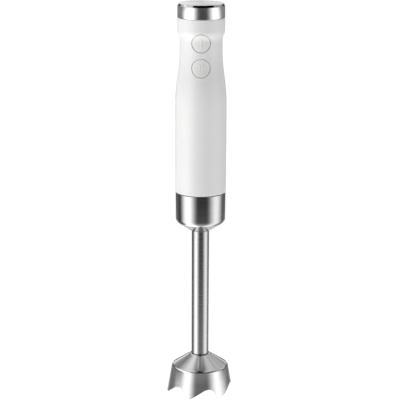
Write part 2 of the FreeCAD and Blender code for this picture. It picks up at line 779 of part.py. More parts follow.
def make_rotor():
    """The shaft with its slotted core, windings, commutator, fan and the three-wing dog."""
    shaft = ring("motor_shaft", "0", "motor_shaft_radius", "motor_shaft_bottom", "motor_shaft_top")
    keep(shaft, "motor_shaft")
    core = ring("core_stack", "motor_shaft_radius", "core_radius", "core_bottom", "core_top")
    slots, bars, slits = [], [], []
    for index in range(SLOT_COUNT):
        turn = Rotation(Vector(0, 0, 1), index * 360 / SLOT_COUNT)
        slots.append(turned_block("core_slot_%d" % index, ("6.5", "-1.1", "core_bottom - 1"),
                                  ("20", "1.1", "core_top + 1"), turn))
        bars.append(turned_block("winding_bar_%d" % index, ("6.6", "-1", "core_bottom - 1"),
                                 ("13.2", "1", "core_top + 1"), turn))
        slits.append(turned_block("commutator_slit_%d" % index, ("3.9", "-0.2", "commutator_bottom - 1"),
                                  ("8", "0.2", "commutator_top + 1"), turn))
    keep(cut("armature_core", core, slots), "armature_core")
    low_end, high_end = "core_bottom - winding_overhang", "core_top + winding_overhang"
    low = turned("winding_low", Outline("4.4", "core_bottom - 0.05").to("5.4", low_end)
                 .to("11.4", low_end).to("13.4", "core_bottom - 0.05"))
    high = turned("winding_high", Outline("4.4", "core_top + 0.05").to("13.4", "core_top + 0.05")
                  .to("11.4", high_end).to("5.4", high_end))
    keep(fuse("armature_windings", [low, high] + bars), "armature_windings")
    copper = ring("commutator_ring", "motor_shaft_radius", "commutator_radius", "commutator_bottom",
                  "commutator_top")
    keep(cut("commutator", copper, slits), "commutator")
    hub = ring("fan_hub", "motor_shaft_radius", "4.5", "fan_bottom", "fan_bottom + fan_height")
    vanes = []
    for index in range(FAN_VANES):
        turn = Rotation(Vector(0, 0, 1), index * 360 / FAN_VANES).multiply(Rotation(Vector(0, 1, 0), 40))
        vanes.append(turned_block("fan_vane_%d" % index, ("-3", "4", "-0.5"), ("3", "fan_radius", "0.5"),
                                  turn, ("0", "0", "fan_bottom + 3")))
    keep(fuse("cooling_fan", [hub] + vanes), "cooling_fan")
    boss = ring("dog_boss", "0", "3.6", "dog_bottom", "dog_top")
    wings = [
        turned_block("dog_wing_%d" % index, ("0", "-1.4", "dog_bottom"),
                     ("dog_wing_reach", "1.4", "dog_bottom + 8"),
                     Rotation(Vector(0, 0, 1), 90 + index * 360 / WING_COUNT))
        for index in range(WING_COUNT)
    ]
    bore = cylinder("dog_bore", "motor_shaft_radius", "20", ("0", "0", "motor_shaft_bottom"))
    keep(cut("drive_dog", fuse("dog_blank", [boss] + wings), [bore]), "drive_dog")


def make_electronics():
    """The control board on the chassis shelf, with the parts soldered to its back."""
    keep(box("control_board", ("-board_half_width", "-board_front", "chassis_neck_z"),
             ("board_half_width", "-board_back", "board_top")), "control_board")
    capacitor = box("filter_capacitor", ("-12", "-board_back", "component_bottom"),
                    ("-1", "sink_back", "sink_top"))
    keep(capacitor, "filter_capacitor")
    transistor_back = "sink_face - 1.5"
    transistor = box("power_transistor", ("3", "-board_back", "component_bottom"),
                     ("12", transistor_back, "sink_top - 2"))
    keep(transistor, "power_transistor")
    plate = box("sink_plate", ("2", transistor_back, "sink_bottom"), ("13", "sink_face", "sink_top"))
    fin_pitch, fin_width = 2.4, 1.4
    fins = [
        box("sink_fin_%d" % index, (str(2 + fin_pitch * index), "sink_face", "sink_bottom"),
            (str(2 + fin_pitch * index + fin_width), "sink_back", "sink_top"))
        for index in range(5)
    ]
    keep(fuse("heat_sink", [plate] + fins), "heat_sink")
    block = box("terminal_case", ("-terminal_half", "-board_back", "terminal_bottom"),
                ("terminal_half", "3.6", "terminal_top"))
    ports = [
        cylinder("terminal_port_%d" % index, "1.3", "5",
                 ("terminal_half / 2 * %d" % side, "-0.4", "(terminal_bottom + terminal_top) / 2"), "Y")
        for index, side in enumerate((-1, 1))
    ]
    keep(cut("terminal_block", block, ports), "terminal_block")


def make_gland():
    """The bored cable gland in the back of the handle, and the cord clamp inside."""
    barrel = cylinder("gland_barrel", "gland_radius", "23 - gland_back", ("0", "gland_back", "gland_z"), "Y")
    nose = document.addObject("Part::Cone", "gland_nose_cone")
    bind(nose, "Radius1", "gland_radius")
    bind(nose, "Radius2", "gland_radius - 0.5")
    bind(nose, "Height", "gland_nose - 23")
    place(nose, ("0", "23", "gland_z"), ALONG["Y"])
    collar = cylinder("gland_collar", "gland_flange_radius", "7", ("0", "16", "gland_z"), "Y")
    flange = cut("gland_flange", collar, [skins["outside"]])
    bore = cylinder("gland_hole", "gland_bore", "30", ("0", "5", "gland_z"), "Y")
    keep(cut("cable_gland", fuse("gland_blank", [barrel, nose, flange]), [bore]), "cable_gland")
    bar = box("clamp_bar", ("-clamp_screw_x - 2", "clamp_front", "clamp_z - clamp_half_height"),
              ("clamp_screw_x + 2", "clamp_face", "clamp_z + clamp_half_height"))
    groove = cylinder("clamp_groove", "3.3", "clamp_half_height * 3",
                      ("0", "clamp_face + 2", "clamp_z - clamp_half_height - 1"))
    holes = [
        cylinder("clamp_hole_%d" % index, "case_hole_radius", "5",
                 ("clamp_screw_x * %d" % side, "clamp_front - 1", "clamp_z"), "Y")
        for index, side in enumerate((1, -1))
    ]
    keep(cut("cord_clamp", bar, [groove] + holes), "cord_clamp")


# ---- leg ------------------------------------------------------------------------------------------------

def make_lock_ring():
    """The ring under the handle's floor that turns with the leg, with three notches below."""
    blank = ring("lock_ring_blank", "lock_ring_inner", "lock_ring_radius", "lock_ring_bottom",
                 "lock_ring_top")
    notches = [
        turned_block("lock_notch_%d" % index, ("15", "-4", "lock_ring_bottom - 1"),
                     ("lock_ring_inner + 1.4", "4", "lock_ring_bottom + 1.6"),
                     Rotation(Vector(0, 0, 1), 120 * index))
        for index in range(WING_COUNT)
    ]
    keep(cut("lock_ring", blank, notches), "lock_ring")


def make_leg():
    """The steel collar and tube, and the plastic housing that holds the upper bush."""
    slope = "(collar_corner_z - collar_cone_z) / (collar_lower_radius - tube_radius)"
    skin_up = "collar_wall * sqrt(1 + (%s)^2)" % slope
    inner = "collar_lower_radius - collar_wall"
    outline = Outline("tube_radius", "collar_cone_z").to("collar_lower_radius", "collar_corner_z")
    outline.to("collar_radius", "collar_top").to("collar_radius - collar_wall", "collar_top")
    outline.to(inner, "collar_cone_z + %s + (%s - tube_radius) * %s" % (skin_up, inner, slope))
    outline.to("tube_radius", "collar_cone_z + %s" % skin_up)
    collar = turned("leg_collar", outline)
    round_edge(collar, "collar_shoulder", "collar_lower_radius", "collar_corner_z", "collar_round")
    round_edge(collar, "collar_shoulder_inside", inner,
               "collar_cone_z + %s + (%s - tube_radius) * %s" % (skin_up, inner, slope),
               "collar_round - collar_wall")
    round_edge(collar, "collar_lip_round", "collar_radius", "collar_top", "collar_lip")
    keep(collar, "leg_collar")
    keep(ring("leg_tube", "tube_radius - tube_wall", "tube_radius", "tube_bottom", "tube_top"), "leg_tube")
    spigot = "tube_radius - tube_wall - 0.05"
    housing = Outline("shaft_clearance_radius", "housing_bottom").to(spigot, "housing_bottom")
    housing.to(spigot, "tube_top").to("20.5", "tube_top")
    housing.to("housing_radius - 0.4", "tube_top + 3").to("housing_radius", "tube_top + 6")
    housing.to("housing_radius", "housing_top").to("housing_inner_radius", "housing_top")
    housing.to("housing_inner_radius", "housing_floor").to("bush_radius + 0.05", "housing_floor")
    housing.to("bush_radius + 0.05", "upper_bush_bottom").to("shaft_clearance_radius", "upper_bush_bottom")
    keep(turned("coupling_housing", housing), "coupling_housing")
    journal = "blade_shaft_radius + running_gap"
    keep(ring("upper_bush", journal, "bush_radius", "upper_bush_bottom + 0.05", "housing_floor"),
         "upper_bush")
    boss = Outline("shaft_clearance_radius", "lower_bush_top").to("bush_radius + 0.05", "lower_bush_top")
    boss.to("bush_radius + 0.05", "lower_bush_bottom").to("shaft_seal_radius + 0.05", "lower_bush_bottom")
    boss.to("shaft_seal_radius + 0.05", "boss_bottom").to("boss_radius", "boss_bottom")
    boss.to("boss_radius", "tube_bottom").to(spigot, "tube_bottom").to(spigot, "boss_spigot_top")
    boss.to("shaft_clearance_radius", "boss_spigot_top")
    keep(turned("bearing_housing", boss), "bearing_housing")
    keep(ring("lower_bush", journal, "bush_radius", "lower_bush_bottom + 0.1", "lower_bush_top"),
         "lower_bush")
    keep(ring("shaft_seal", "blade_shaft_radius + 0.02", "shaft_seal_radius", "boss_bottom + 0.1",
              "lower_bush_bottom"), "shaft_seal")


def make_guard():
    """The pressed steel guard: a shallow cone, a rounded shoulder and a flared wall with six teeth."""
    cone = "(guard_neck_z - guard_shoulder_z) / (guard_shoulder_radius - guard_neck_radius)"
    flare = "(guard_rim_radius - guard_shoulder_radius) / guard_shoulder_z"
    skin_down = "guard_wall * sqrt(1 + (%s)^2)" % cone
    skin_in = "guard_wall * sqrt(1 + (%s)^2)" % flare
    # the inside cone and the inside wall cross where both offset lines meet
    corner_z = ("(guard_neck_z - %s - (guard_rim_radius - %s - guard_neck_radius) * %s)"
                " / (1 - (%s) * (%s))" % (skin_down, skin_in, cone, cone, flare))
    corner_r = "guard_rim_radius - %s - (%s) * (%s)" % (skin_in, corner_z, flare)
    inside_top = "guard_neck_z - %s" % skin_down
    outline = Outline("tube_radius", inside_top).to("tube_radius", "guard_groove_floor")
    outline.to("guard_groove_radius", "guard_groove_floor").to("guard_groove_radius", "guard_lip_top")
    outline.to("guard_lip_radius", "guard_lip_top").to("guard_neck_radius", "guard_neck_z")
    outline.to("guard_shoulder_radius", "guard_shoulder_z").to("guard_rim_radius", "0")
    outline.to("guard_rim_radius - %s" % skin_in, "0").to(corner_r, corner_z)
    outline.to("guard_neck_radius", inside_top)
    guard = turned("blade_guard", outline)
    round_edge(guard, "guard_shoulder", "guard_shoulder_radius", "guard_shoulder_z", "guard_shoulder_round")
    round_edge(guard, "guard_shoulder_inside", corner_r, corner_z, "guard_shoulder_round - guard_wall")
    round_edge(guard, "guard_lip_outside", "guard_lip_radius", "guard_lip_top", "guard_lip_round")
    round_edge(guard, "guard_lip_inside", "guard_groove_radius", "guard_lip_top", "guard_lip_round")
    # one gap between two teeth: a long ramp, a round crest and a steep drop, with rounded tooth corners
    crest = "-tooth_ramp_foot + tooth_ramp_run + tooth_crest_run"
    drop_x, drop_z = "%s + tooth_drop_run" % crest, "tooth_height - tooth_drop_fall"
    drop_length = "hypot(tooth_foot - (%s); %s)" % (drop_x, drop_z)
    drop_cos = "(tooth_foot - (%s)) / %s" % (drop_x, drop_length)
    drop_sin = "(%s) / %s" % (drop_z, drop_length)
    drop_tangent = "tooth_drop_round * (1 - (%s)) / (%s)" % (drop_cos, drop_sin)
    ramp_length = "hypot(tooth_ramp_run; tooth_ramp_rise)"
    ramp_cos, ramp_sin = "tooth_ramp_run / %s" % ramp_length, "tooth_ramp_rise / %s" % ramp_length
    ramp_tangent = "tooth_ramp_round * (1 - (%s)) / (%s)" % (ramp_cos, ramp_sin)
    below = "-tooth_cut_below"
    gap = Outline("-tooth_ramp_foot - %s" % ramp_tangent, below)
    gap.to("tooth_foot + %s" % drop_tangent, below).to("tooth_foot + %s" % drop_tangent, "0")
    gap.arc("tooth_foot - %s * %s" % (drop_tangent, drop_cos), "%s * %s" % (drop_tangent, drop_sin),
            "tooth_drop_round", -1)
    gap.to(drop_x, drop_z).arc(crest, "tooth_height", "tooth_drop_radius", 1)
    gap.arc("-tooth_ramp_foot + tooth_ramp_run", "tooth_ramp_rise", "tooth_crest_radius", 1)
    gap.to("-tooth_ramp_foot + %s * %s" % (ramp_tangent, ramp_cos), "%s * %s" % (ramp_tangent, ramp_sin))
    gap.arc("-tooth_ramp_foot - %s" % ramp_tangent, "0", "tooth_ramp_round", -1)
    sketch = sketch_on(guard, "tooth_gap", "XZ_Plane")
    # the cut starts inside the wall, clear of its neighbours, and runs outwards
    heading = Rotation(Vector(0, 1, 0), size("tooth_gap_centre"))
    sketch.AttachmentOffset = Placement(heading.multVec(Vector(0, 0, size("tooth_cut_start"))), heading)
    gap.draw(sketch)
    before = guard.Shape.Volume
    pocket = guard.newObject("PartDesign::Pocket", "tooth_gap_cut")
    pocket.Profile = sketch
    bind(pocket, "Length", "tooth_cut_length")
    pocket.Reversed = True
    document.recompute()
    pattern = guard.newObject("PartDesign::PolarPattern", "tooth_gaps")
    pattern.Originals = [pocket]
    pattern.Axis = ([f for f in guard.Origin.OriginFeatures if f.Role == "Z_Axis"][0], [""])
    pattern.Angle = 360
    pattern.Occurrences = TOOTH_COUNT
    guard.Tip = pattern
    document.recompute()
    removed = before - guard.Shape.Volume
    print("tooth gaps remove %.0f mm3, low z %.3f" % (removed, guard.Shape.BoundBox.ZMin))
    if removed < TOOTH_COUNT * 100:
        raise ValueError("the tooth gaps cut too little")
    keep(guard, "blade_guard")


def make_blade_set():
    """The drive shaft, its ribbed socket, spacer, two-wing blade and cap nut."""
    shaft = ring("blade_shaft", "0", "blade_shaft_radius", "blade_shaft_bottom", "blade_shaft_top")
    keep(shaft, "blade_shaft")
    outline = Outline("blade_shaft_radius", "coupler_bottom").to("coupler_radius", "coupler_bottom")
    outline.to("coupler_radius", "coupler_top").to("coupler_cavity", "coupler_top")
    outline.to("coupler_cavity", "coupler_seat").to("blade_shaft_radius", "coupler_seat")
    cup = turned("coupler_cup", outline)
    ribs = [
        turned_block("coupler_rib_%d" % index, ("4.2", "-1", "coupler_seat - 0.5"),
                     ("coupler_cavity + 0.5", "1", "coupler_top - 1"),
                     Rotation(Vector(0, 0, 1), 30 + 120 * index))
        for index in range(WING_COUNT)
    ]
    keep(fuse("driven_coupler", [cup] + ribs), "driven_coupler")
    spacer = Outline("blade_shaft_radius", "blade_bottom + blade_thickness")
    spacer.to("5", "blade_bottom + blade_thickness").to("6", "14").to("6", "17").to("4", "spacer_top")
    keep(turned("blade_spacer", spacer.to("blade_shaft_radius", "spacer_top")), "blade_spacer")
    hub = cylinder("blade_hub", "blade_root + 0.9", "blade_thickness", ("0", "0", "blade_bottom"))
    wings = []
    for index, (tilt, heading) in enumerate(((14, 35), (-6, 215))):
        flat = document.addObject("Part::Wedge", "wing_flat_%d" % index)
        flat.Xmin, flat.Xmax, flat.X2min, flat.X2max = -4.6, 4.6, -3.4, 1.6
        flat.Ymin, flat.Zmin, flat.Z2min = 0, 0, 0
        bind(flat, "Ymax", "blade_reach - blade_root")
        bind(flat, "Zmax", "blade_thickness")
        bind(flat, "Z2max", "blade_thickness")
        bevel = document.addObject("Part::Box", "wing_bevel_%d" % index)
        bevel.Length, bevel.Width, bevel.Height = 8, 30, 6
        bevel.Placement = Placement(
            Vector(2.2, -1, 1.45), Rotation(Vector(0, 0, 1), 11).multiply(Rotation(Vector(0, 1, 0), 24)))
        sharp = cut("wing_sharp_%d" % index, flat, [bevel])
        holder = document.addObject("Part::Compound", "wing_%d" % index)
        holder.Links = [sharp]
        turn = Rotation(Vector(0, 0, 1), heading).multiply(Rotation(Vector(1, 0, 0), tilt))
        root = around("blade_root", heading + 90)
        wings.append(place(holder, root + ("blade_bottom",), turn))
    bore = cylinder("blade_bore", "blade_shaft_radius", "20", ("0", "0", "0"))
    keep(cut("blade", fuse("blade_blank", [hub] + wings), [bore]), "blade")
    hexagon = document.addObject("Part::Prism", "nut_hexagon")
    hexagon.Polygon = 6
    hexagon.Circumradius = 5.2
    bind(hexagon, "Height", "blade_bottom - nut_bottom")
    place(hexagon, ("0", "0", "nut_bottom"))
    dome = turned("nut_dome", Outline("0", "nut_bottom").to("3.4", "nut_bottom")
                  .arc("6.2", "blade_bottom", "4.4", 1).to("0", "blade_bottom"))
    nut = common("nut_blank", [hexagon, dome])
    hole = cylinder("nut_hole", "blade_shaft_radius", "20", ("0", "0", "blade_shaft_bottom"))
    keep(cut("blade_nut", nut, [hole]), "blade_nut")


skins = {
    "cap": handle_form("cap_surface", "-0.1"),
    "flange": handle_form("flange_surface", "-2.5"),
    "mark": handle_form("mark_surface", "mark_rise"),
    "outside": handle_form("outside_surface", "0.02"),
}
make_handle_shell()
make_button(1, [(0, 0.8, 4.1)])
make_button(2, [(-1.5, 0.6, 3.75), (1.5, 0.6, 3.75)])
make_switch_body(1)
make_switch_body(2)
make_dial()
make_top_plate()
make_speed_control()
make_motor_bracket()
make_chassis()
make_motor()
make_rotor()
make_electronics()
make_gland()
make_lock_ring()
make_leg()
make_guard()
make_blade_set()
document.recompute()

for thing in document.Objects:
    if "Invalid" in thing.State or "Error" in thing.State:
        raise ValueError("%s did not build: %s" % (thing.Name, thing.State))
for node in nodes:
    shape = node.Shape
    if shape.isNull() or not shape.isValid() or not shape.Solids or shape.Volume <= 0:
        raise ValueError("%s has no sound solid" % node.Label)

os.makedirs("parts", exist_ok=True)
for node in nodes:
    node.Shape.exportStep("parts/%s.step" % node.Label)
    print("%-22s %d solid %9.1f mm3" % (node.Label, len(node.Shape.Solids), node.Shape.Volume))
print(len(nodes), "sub-parts")
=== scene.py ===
import json
import math

import bmesh
import bpy
from mathutils import Matrix, Vector


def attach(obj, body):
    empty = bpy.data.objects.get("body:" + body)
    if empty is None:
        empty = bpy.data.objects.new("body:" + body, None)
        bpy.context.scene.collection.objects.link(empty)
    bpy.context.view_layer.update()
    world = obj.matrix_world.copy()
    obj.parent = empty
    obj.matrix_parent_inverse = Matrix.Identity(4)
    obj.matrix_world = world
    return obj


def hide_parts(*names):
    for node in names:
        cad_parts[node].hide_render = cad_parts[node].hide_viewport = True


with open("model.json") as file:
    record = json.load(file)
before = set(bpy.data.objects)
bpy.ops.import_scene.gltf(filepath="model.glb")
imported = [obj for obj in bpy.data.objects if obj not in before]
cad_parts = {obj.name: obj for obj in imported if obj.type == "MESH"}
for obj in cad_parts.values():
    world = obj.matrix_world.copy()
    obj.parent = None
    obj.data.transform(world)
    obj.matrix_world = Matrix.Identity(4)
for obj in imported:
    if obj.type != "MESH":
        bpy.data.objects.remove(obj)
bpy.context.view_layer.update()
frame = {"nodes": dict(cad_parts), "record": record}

MM = 0.001

# ---- the object's own sizes, in millimetres --------------------------------------------------------------

SHELL_BOTTOM, SHELL_TOP = 206.4, 378.6
SHELL_WALL = 2.2
RIM_RADIUS, BELLY_RADIUS, WAIST_RADIUS, CROWN_RADIUS = 24.85, 25.05, 20.8, 23.2
BELLY_LOW_Z, BELLY_TOP_Z = 250.0, 293.0
WAIST_LOW_Z, WAIST_TOP_Z = 349.0, 356.3
CROWN_Z = 367.5
BUTTON_HEIGHTS = {"button_1": 356.0, "button_2": 332.0}
BUTTON_RADIUS, BUTTON_HOLE_RADIUS = 8.78, 9.2      # the CAD's are a little larger
BUTTON_FLANGE_RADIUS, BUTTON_FLANGE_GAP, BUTTON_BACK_Y = 10.2, 0.35, -14.0
DIAL_RADIUS, DIAL_BOTTOM, DIAL_TOP = 23.05, 378.75, 392.5
BEVEL_WIDTH, BEVEL_HEIGHT = 1.0, 2.2
INLAY_RADIUS, INLAY_DEPTH = 21.9, 0.8
COLLAR_RADIUS, COLLAR_LOWER_RADIUS = 24.65, 24.45
COLLAR_TOP, COLLAR_CORNER_Z, COLLAR_CONE_Z, COLLAR_ROUND = 206.0, 176.4, 166.8, 5.5
TUBE_RADIUS, TUBE_WALL, TUBE_BOTTOM, TUBE_TOP = 8.62, 0.8, 35.0, 179.5
GUARD_WALL = 1.2
GUARD_RIM_RADIUS, GUARD_SHOULDER_RADIUS, GUARD_SHOULDER_Z, GUARD_ROUND = 33.0, 28.15, 27.4, 4.0
GUARD_NECK_RADIUS, GUARD_NECK_Z = 10.8, 38.8
LIP_RADIUS, LIP_TOP, LIP_ROUND, GROOVE_RADIUS, GROOVE_FLOOR = 10.4, 39.5, 0.4, 9.4, 38.5
TOOTH_COUNT, TOOTH_GAP_CENTRE = 6, 6.2
RAMP_FOOT, RAMP_RUN, RAMP_RISE, RAMP_ROUND = 13.6, 13.0, 7.85, 4.0
CREST_RUN, TOOTH_HEIGHT, CREST_BEND = 6.8, 9.8, 12.3
DROP_RUN, DROP_FALL, DROP_BEND, DROP_FOOT, DROP_ROUND = 5.5, 4.1, 5.75, 13.7, 1.2

AROUND = 384            # points around a turned surface
WELD = 1e-7             # points nearer than this, in metres, are merged
SHARP_DEGREES = 40      # an edge that turns more than this is shaded as sharp


# ---- shape tools ------------------------------------------------------------------------------------------

def rounded(corners, step_degrees=7):
    """A profile of (across, up) points. A corner written (across, up, radius) is rounded by a tangent arc."""
    out = []
    count = len(corners)
    for index, corner in enumerate(corners):
        if len(corner) < 3 or index in (0, count - 1):
            out.append(tuple(corner[:2]))
            continue
        here = Vector(corner[:2])
        back = (Vector(corners[index - 1][:2]) - here).normalized()
        ahead = (Vector(corners[index + 1][:2]) - here).normalized()
        opening = back.angle(ahead)
        radius = corner[2]
        tangent = radius / math.tan(opening / 2)
        centre = here + (back + ahead).normalized() * (radius / math.sin(opening / 2))
        start, end = here + back * tangent - centre, here + ahead * tangent - centre
        turn = math.pi - opening
        steps = max(2, math.ceil(math.degrees(turn) / step_degrees))
        side = 1 if start.x * end.y - start.y * end.x > 0 else -1
        for k in range(steps + 1):
            angle = side * turn * k / steps
            cos_a, sin_a = math.cos(angle), math.sin(angle)
            out.append((centre.x + start.x * cos_a - start.y * sin_a,
                        centre.y + start.x * sin_a + start.y * cos_a))
    return out


def ease(low_z, low_radius, high_z, high_radius, z):
    """The radius at z on an S of two equal arcs that runs parallel to the axis at both ends."""
    rise, step = high_z - low_z, high_radius - low_radius
    bend = (rise * rise + step * step) / (4 * abs(step))
    side = 1 if step > 0 else -1
    along = z - low_z
    if along < rise / 2:
        return low_radius + side * (bend - math.sqrt(bend * bend - along * along))
    along = high_z - z
    return high_radius - side * (bend - math.sqrt(bend * bend - along * along))


def shell_radius(z):
    """The handle's outer radius at a height, in millimetres."""
    if z >= CROWN_Z:
        return CROWN_RADIUS
    if z > WAIST_TOP_Z:
        return ease(WAIST_TOP_Z, WAIST_RADIUS, CROWN_Z, CROWN_RADIUS, z)
    if z >= WAIST_LOW_Z:
        return WAIST_RADIUS
    if z > BELLY_TOP_Z:
        return ease(BELLY_TOP_Z, BELLY_RADIUS, WAIST_LOW_Z, WAIST_RADIUS, z)
    if z >= BELLY_LOW_Z:
        return BELLY_RADIUS
    return RIM_RADIUS + (BELLY_RADIUS - RIM_RADIUS) * (z - SHELL_BOTTOM) / (BELLY_LOW_Z - SHELL_BOTTOM)


def new_piece(name, points, faces, body, slot, *replaced):
    """A smooth-shaded mesh in millimetres that rides on a body and stands for CAD nodes."""
    mesh = bpy.data.meshes.new(name)
    mesh.from_pydata([(x * MM, y * MM, z * MM) for x, y, z in points], [], faces)
    work = bmesh.new()
    work.from_mesh(mesh)
    bmesh.ops.remove_doubles(work, verts=work.verts, dist=WELD)
    bmesh.ops.recalc_face_normals(work, faces=work.faces)
    work.to_mesh(mesh)
    work.free()
    mesh.shade_smooth()
    mesh.set_sharp_from_angle(angle=math.radians(SHARP_DEGREES))
    piece = bpy.data.objects.new(name, mesh)
    bpy.context.collection.objects.link(piece)
    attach(piece, body)
    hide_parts(*replaced)
    return piece


def band_faces(lower, upper):
    """Quads between two rings of point numbers."""
    count = len(lower)
    return [(lower[k], lower[(k + 1) % count], upper[(k + 1) % count], upper[k]) for k in range(count)]


def turned_faces(rows, around, closed):
    """Quads between rows of points, each row going once around the axis."""
    rings = [range(row * around, (row + 1) * around) for row in range(rows)]
    if closed:
        rings.append(rings[0])
    faces = []
    for lower, upper in zip(rings, rings[1:]):
        faces += band_faces(lower, upper)
    return faces


def turned_point(radius, angle, height):
    """A point at an angle about Z, measured from the front."""
    return (radius * math.sin(angle), -radius * math.cos(angle), height)


def turned_points(profile, around=AROUND):
    """Rows of points about Z, one for each (radius, height) of a profile."""
    return [turned_point(radius, 2 * math.pi * k / around, height) for radius, height in profile
            for k in range(around)]


def turned(name, section, body, slot, *replaced):
    """A closed section of (radius, height) points turned about Z."""
    faces = turned_faces(len(section), AROUND, True)
    return new_piece(name, turned_points(section), faces, body, slot, *replaced)


# ---- materials --------------------------------------------------------------------------------------------

# grains and lines are counted per metre, and the depths given to bump are in metres
NOISE_LOW, NOISE_HIGH = 0.3, 0.7        # the part of a noise's range that is put to use
EDGE_STARTS, EDGE_FULL = 0.52, 0.62     # pointiness where wear starts and where it is full
BRUSH_ALONG, BRUSH_LINES = 30.0, 5200.0     # how fast brushing changes along its lines and across them
CLOUD_SIZE, MOULD_GRAIN, GROUND_GRAIN, RUBBER_GRAIN = 35.0, 1800.0, 900.0, 1400.0
WIRE_LINES, SHEET_LINES = 900.0, 320.0


class NodeMaths:
    """Adds nodes and arithmetic to a node tree."""

    def __init__(self, tree):
        self.tree = tree

    def node(self, kind, **settings):
        made = self.tree.nodes.new(kind)
        for key, value in settings.items():
            setattr(made, key, value)
        return made

    def link(self, source, target):
        self.tree.links.new(source, target)

    def calc(self, operation, a, b=0.0, clamp=False):
        made = self.node("ShaderNodeMath", operation=operation, use_clamp=clamp)
        for socket, value in zip(made.inputs, (a, b)):
            if isinstance(value, (int, float)):
                socket.default_value = value
            else:
                self.link(value, socket)
        return made.outputs[0]


class Recipe(NodeMaths):
    """A small helper for writing node materials."""

    def __init__(self, name):
        self.material = bpy.data.materials.new(name)
        self.material.use_nodes = True
        super().__init__(self.material.node_tree)
        self.shader = self.tree.nodes["Principled BSDF"]

    def place(self):
        """The place on the object, in metres."""
        return self.node("ShaderNodeTexCoord").outputs["Object"]

    def brushed_about_z(self, along, across):
        """Coordinates that change slowly around the axis and fast along the height and the radius."""
        split = self.node("ShaderNodeSeparateXYZ")
        self.link(self.place(), split.inputs[0])
        x, y, z = split.outputs
        radius_share = 1.7      # the lines also move with the radius, so that a flat disc has rings
        radius = self.calc("SQRT", self.calc("ADD", self.calc("MULTIPLY", x, x), self.calc("MULTIPLY", y, y)))
        line = self.calc("ADD", z, self.calc("MULTIPLY", radius, radius_share))
        join = self.node("ShaderNodeCombineXYZ")
        self.link(self.calc("MULTIPLY", x, along), join.inputs[0])
        self.link(self.calc("MULTIPLY", y, along), join.inputs[1])
        self.link(self.calc("MULTIPLY", line, across), join.inputs[2])
        return join.outputs[0]

    def noise(self, vector, scale, detail, rough=0.5):
        made = self.node("ShaderNodeTexNoise")
        made.inputs["Scale"].default_value = scale
        made.inputs["Detail"].default_value = detail
        made.inputs["Roughness"].default_value = rough
        self.link(vector, made.inputs["Vector"])
        return made.outputs["Fac"]

    def spread(self, source, low, high):
        """Map the used part of a noise to low..high."""
        made = self.node("ShaderNodeMapRange")
        made.inputs["From Min"].default_value = NOISE_LOW
        made.inputs["From Max"].default_value = NOISE_HIGH
        made.inputs["To Min"].default_value = low
        made.inputs["To Max"].default_value = high
        self.link(source, made.inputs["Value"])
        return made.outputs["Result"]

    def tint(self, source, dark, light):
        """Map the used part of a noise to colours from dark to light."""
        ramp = self.node("ShaderNodeValToRGB")
        ramp.color_ramp.elements[0].position = NOISE_LOW
        ramp.color_ramp.elements[1].position = NOISE_HIGH
        ramp.color_ramp.elements[0].color = (*dark, 1)
        ramp.color_ramp.elements[1].color = (*light, 1)
        self.link(source, ramp.inputs[0])
        return ramp.outputs[0]

    def bump(self, source, strength, distance):
        made = self.node("ShaderNodeBump")
        made.inputs["Strength"].default_value = strength
        made.inputs["Distance"].default_value = distance
        self.link(source, made.inputs["Height"])
        self.link(made.outputs["Normal"], self.shader.inputs["Normal"])

    def worn_edges(self, base, worn, amount):
        """Blend a base colour towards a worn one where the surface turns sharply outwards."""
        geometry = self.node("ShaderNodeNewGeometry")
        edge = self.node("ShaderNodeMapRange")
        edge.inputs["From Min"].default_value = EDGE_STARTS
        edge.inputs["From Max"].default_value = EDGE_FULL
        edge.inputs["To Max"].default_value = amount
        self.link(geometry.outputs["Pointiness"], edge.inputs["Value"])
        mix = self.node("ShaderNodeMix", data_type="RGBA")
        self.link(edge.outputs["Result"], mix.inputs[0])
        self.link(base, mix.inputs[6])
        mix.inputs[7].default_value = (*worn, 1)
        return mix.outputs[2]


def grey(value):
    """A neutral colour, very slightly cool."""
    return (value, value, value * 1.005)


def shades(colour, vary):
    """A darker and a lighter shade of a colour."""
    return tuple(c * (1 - vary) for c in colour), tuple(min(1.0, c * (1 + vary)) for c in colour)


def plastic(name, colour, rough, vary=0.03):
    """Moulded plastic: an even colour, a fine spark-eroded texture and slightly uneven gloss."""
    mat = Recipe(name)
    cloud = mat.noise(mat.place(), CLOUD_SIZE, 3.0)
    dark, light = shades(colour, vary)
    mat.link(mat.worn_edges(mat.tint(cloud, dark, light), light, 0.5), mat.shader.inputs["Base Color"])
    fine = mat.noise(mat.place(), MOULD_GRAIN, 2.0)
    mat.link(mat.spread(fine, rough - 0.04, rough + 0.04), mat.shader.inputs["Roughness"])
    mat.bump(fine, 0.35, 0.00002)
    mat.shader.inputs["IOR"].default_value = 1.5
    mat.shader.inputs["Specular IOR Level"].default_value = 0.5
    return mat.material


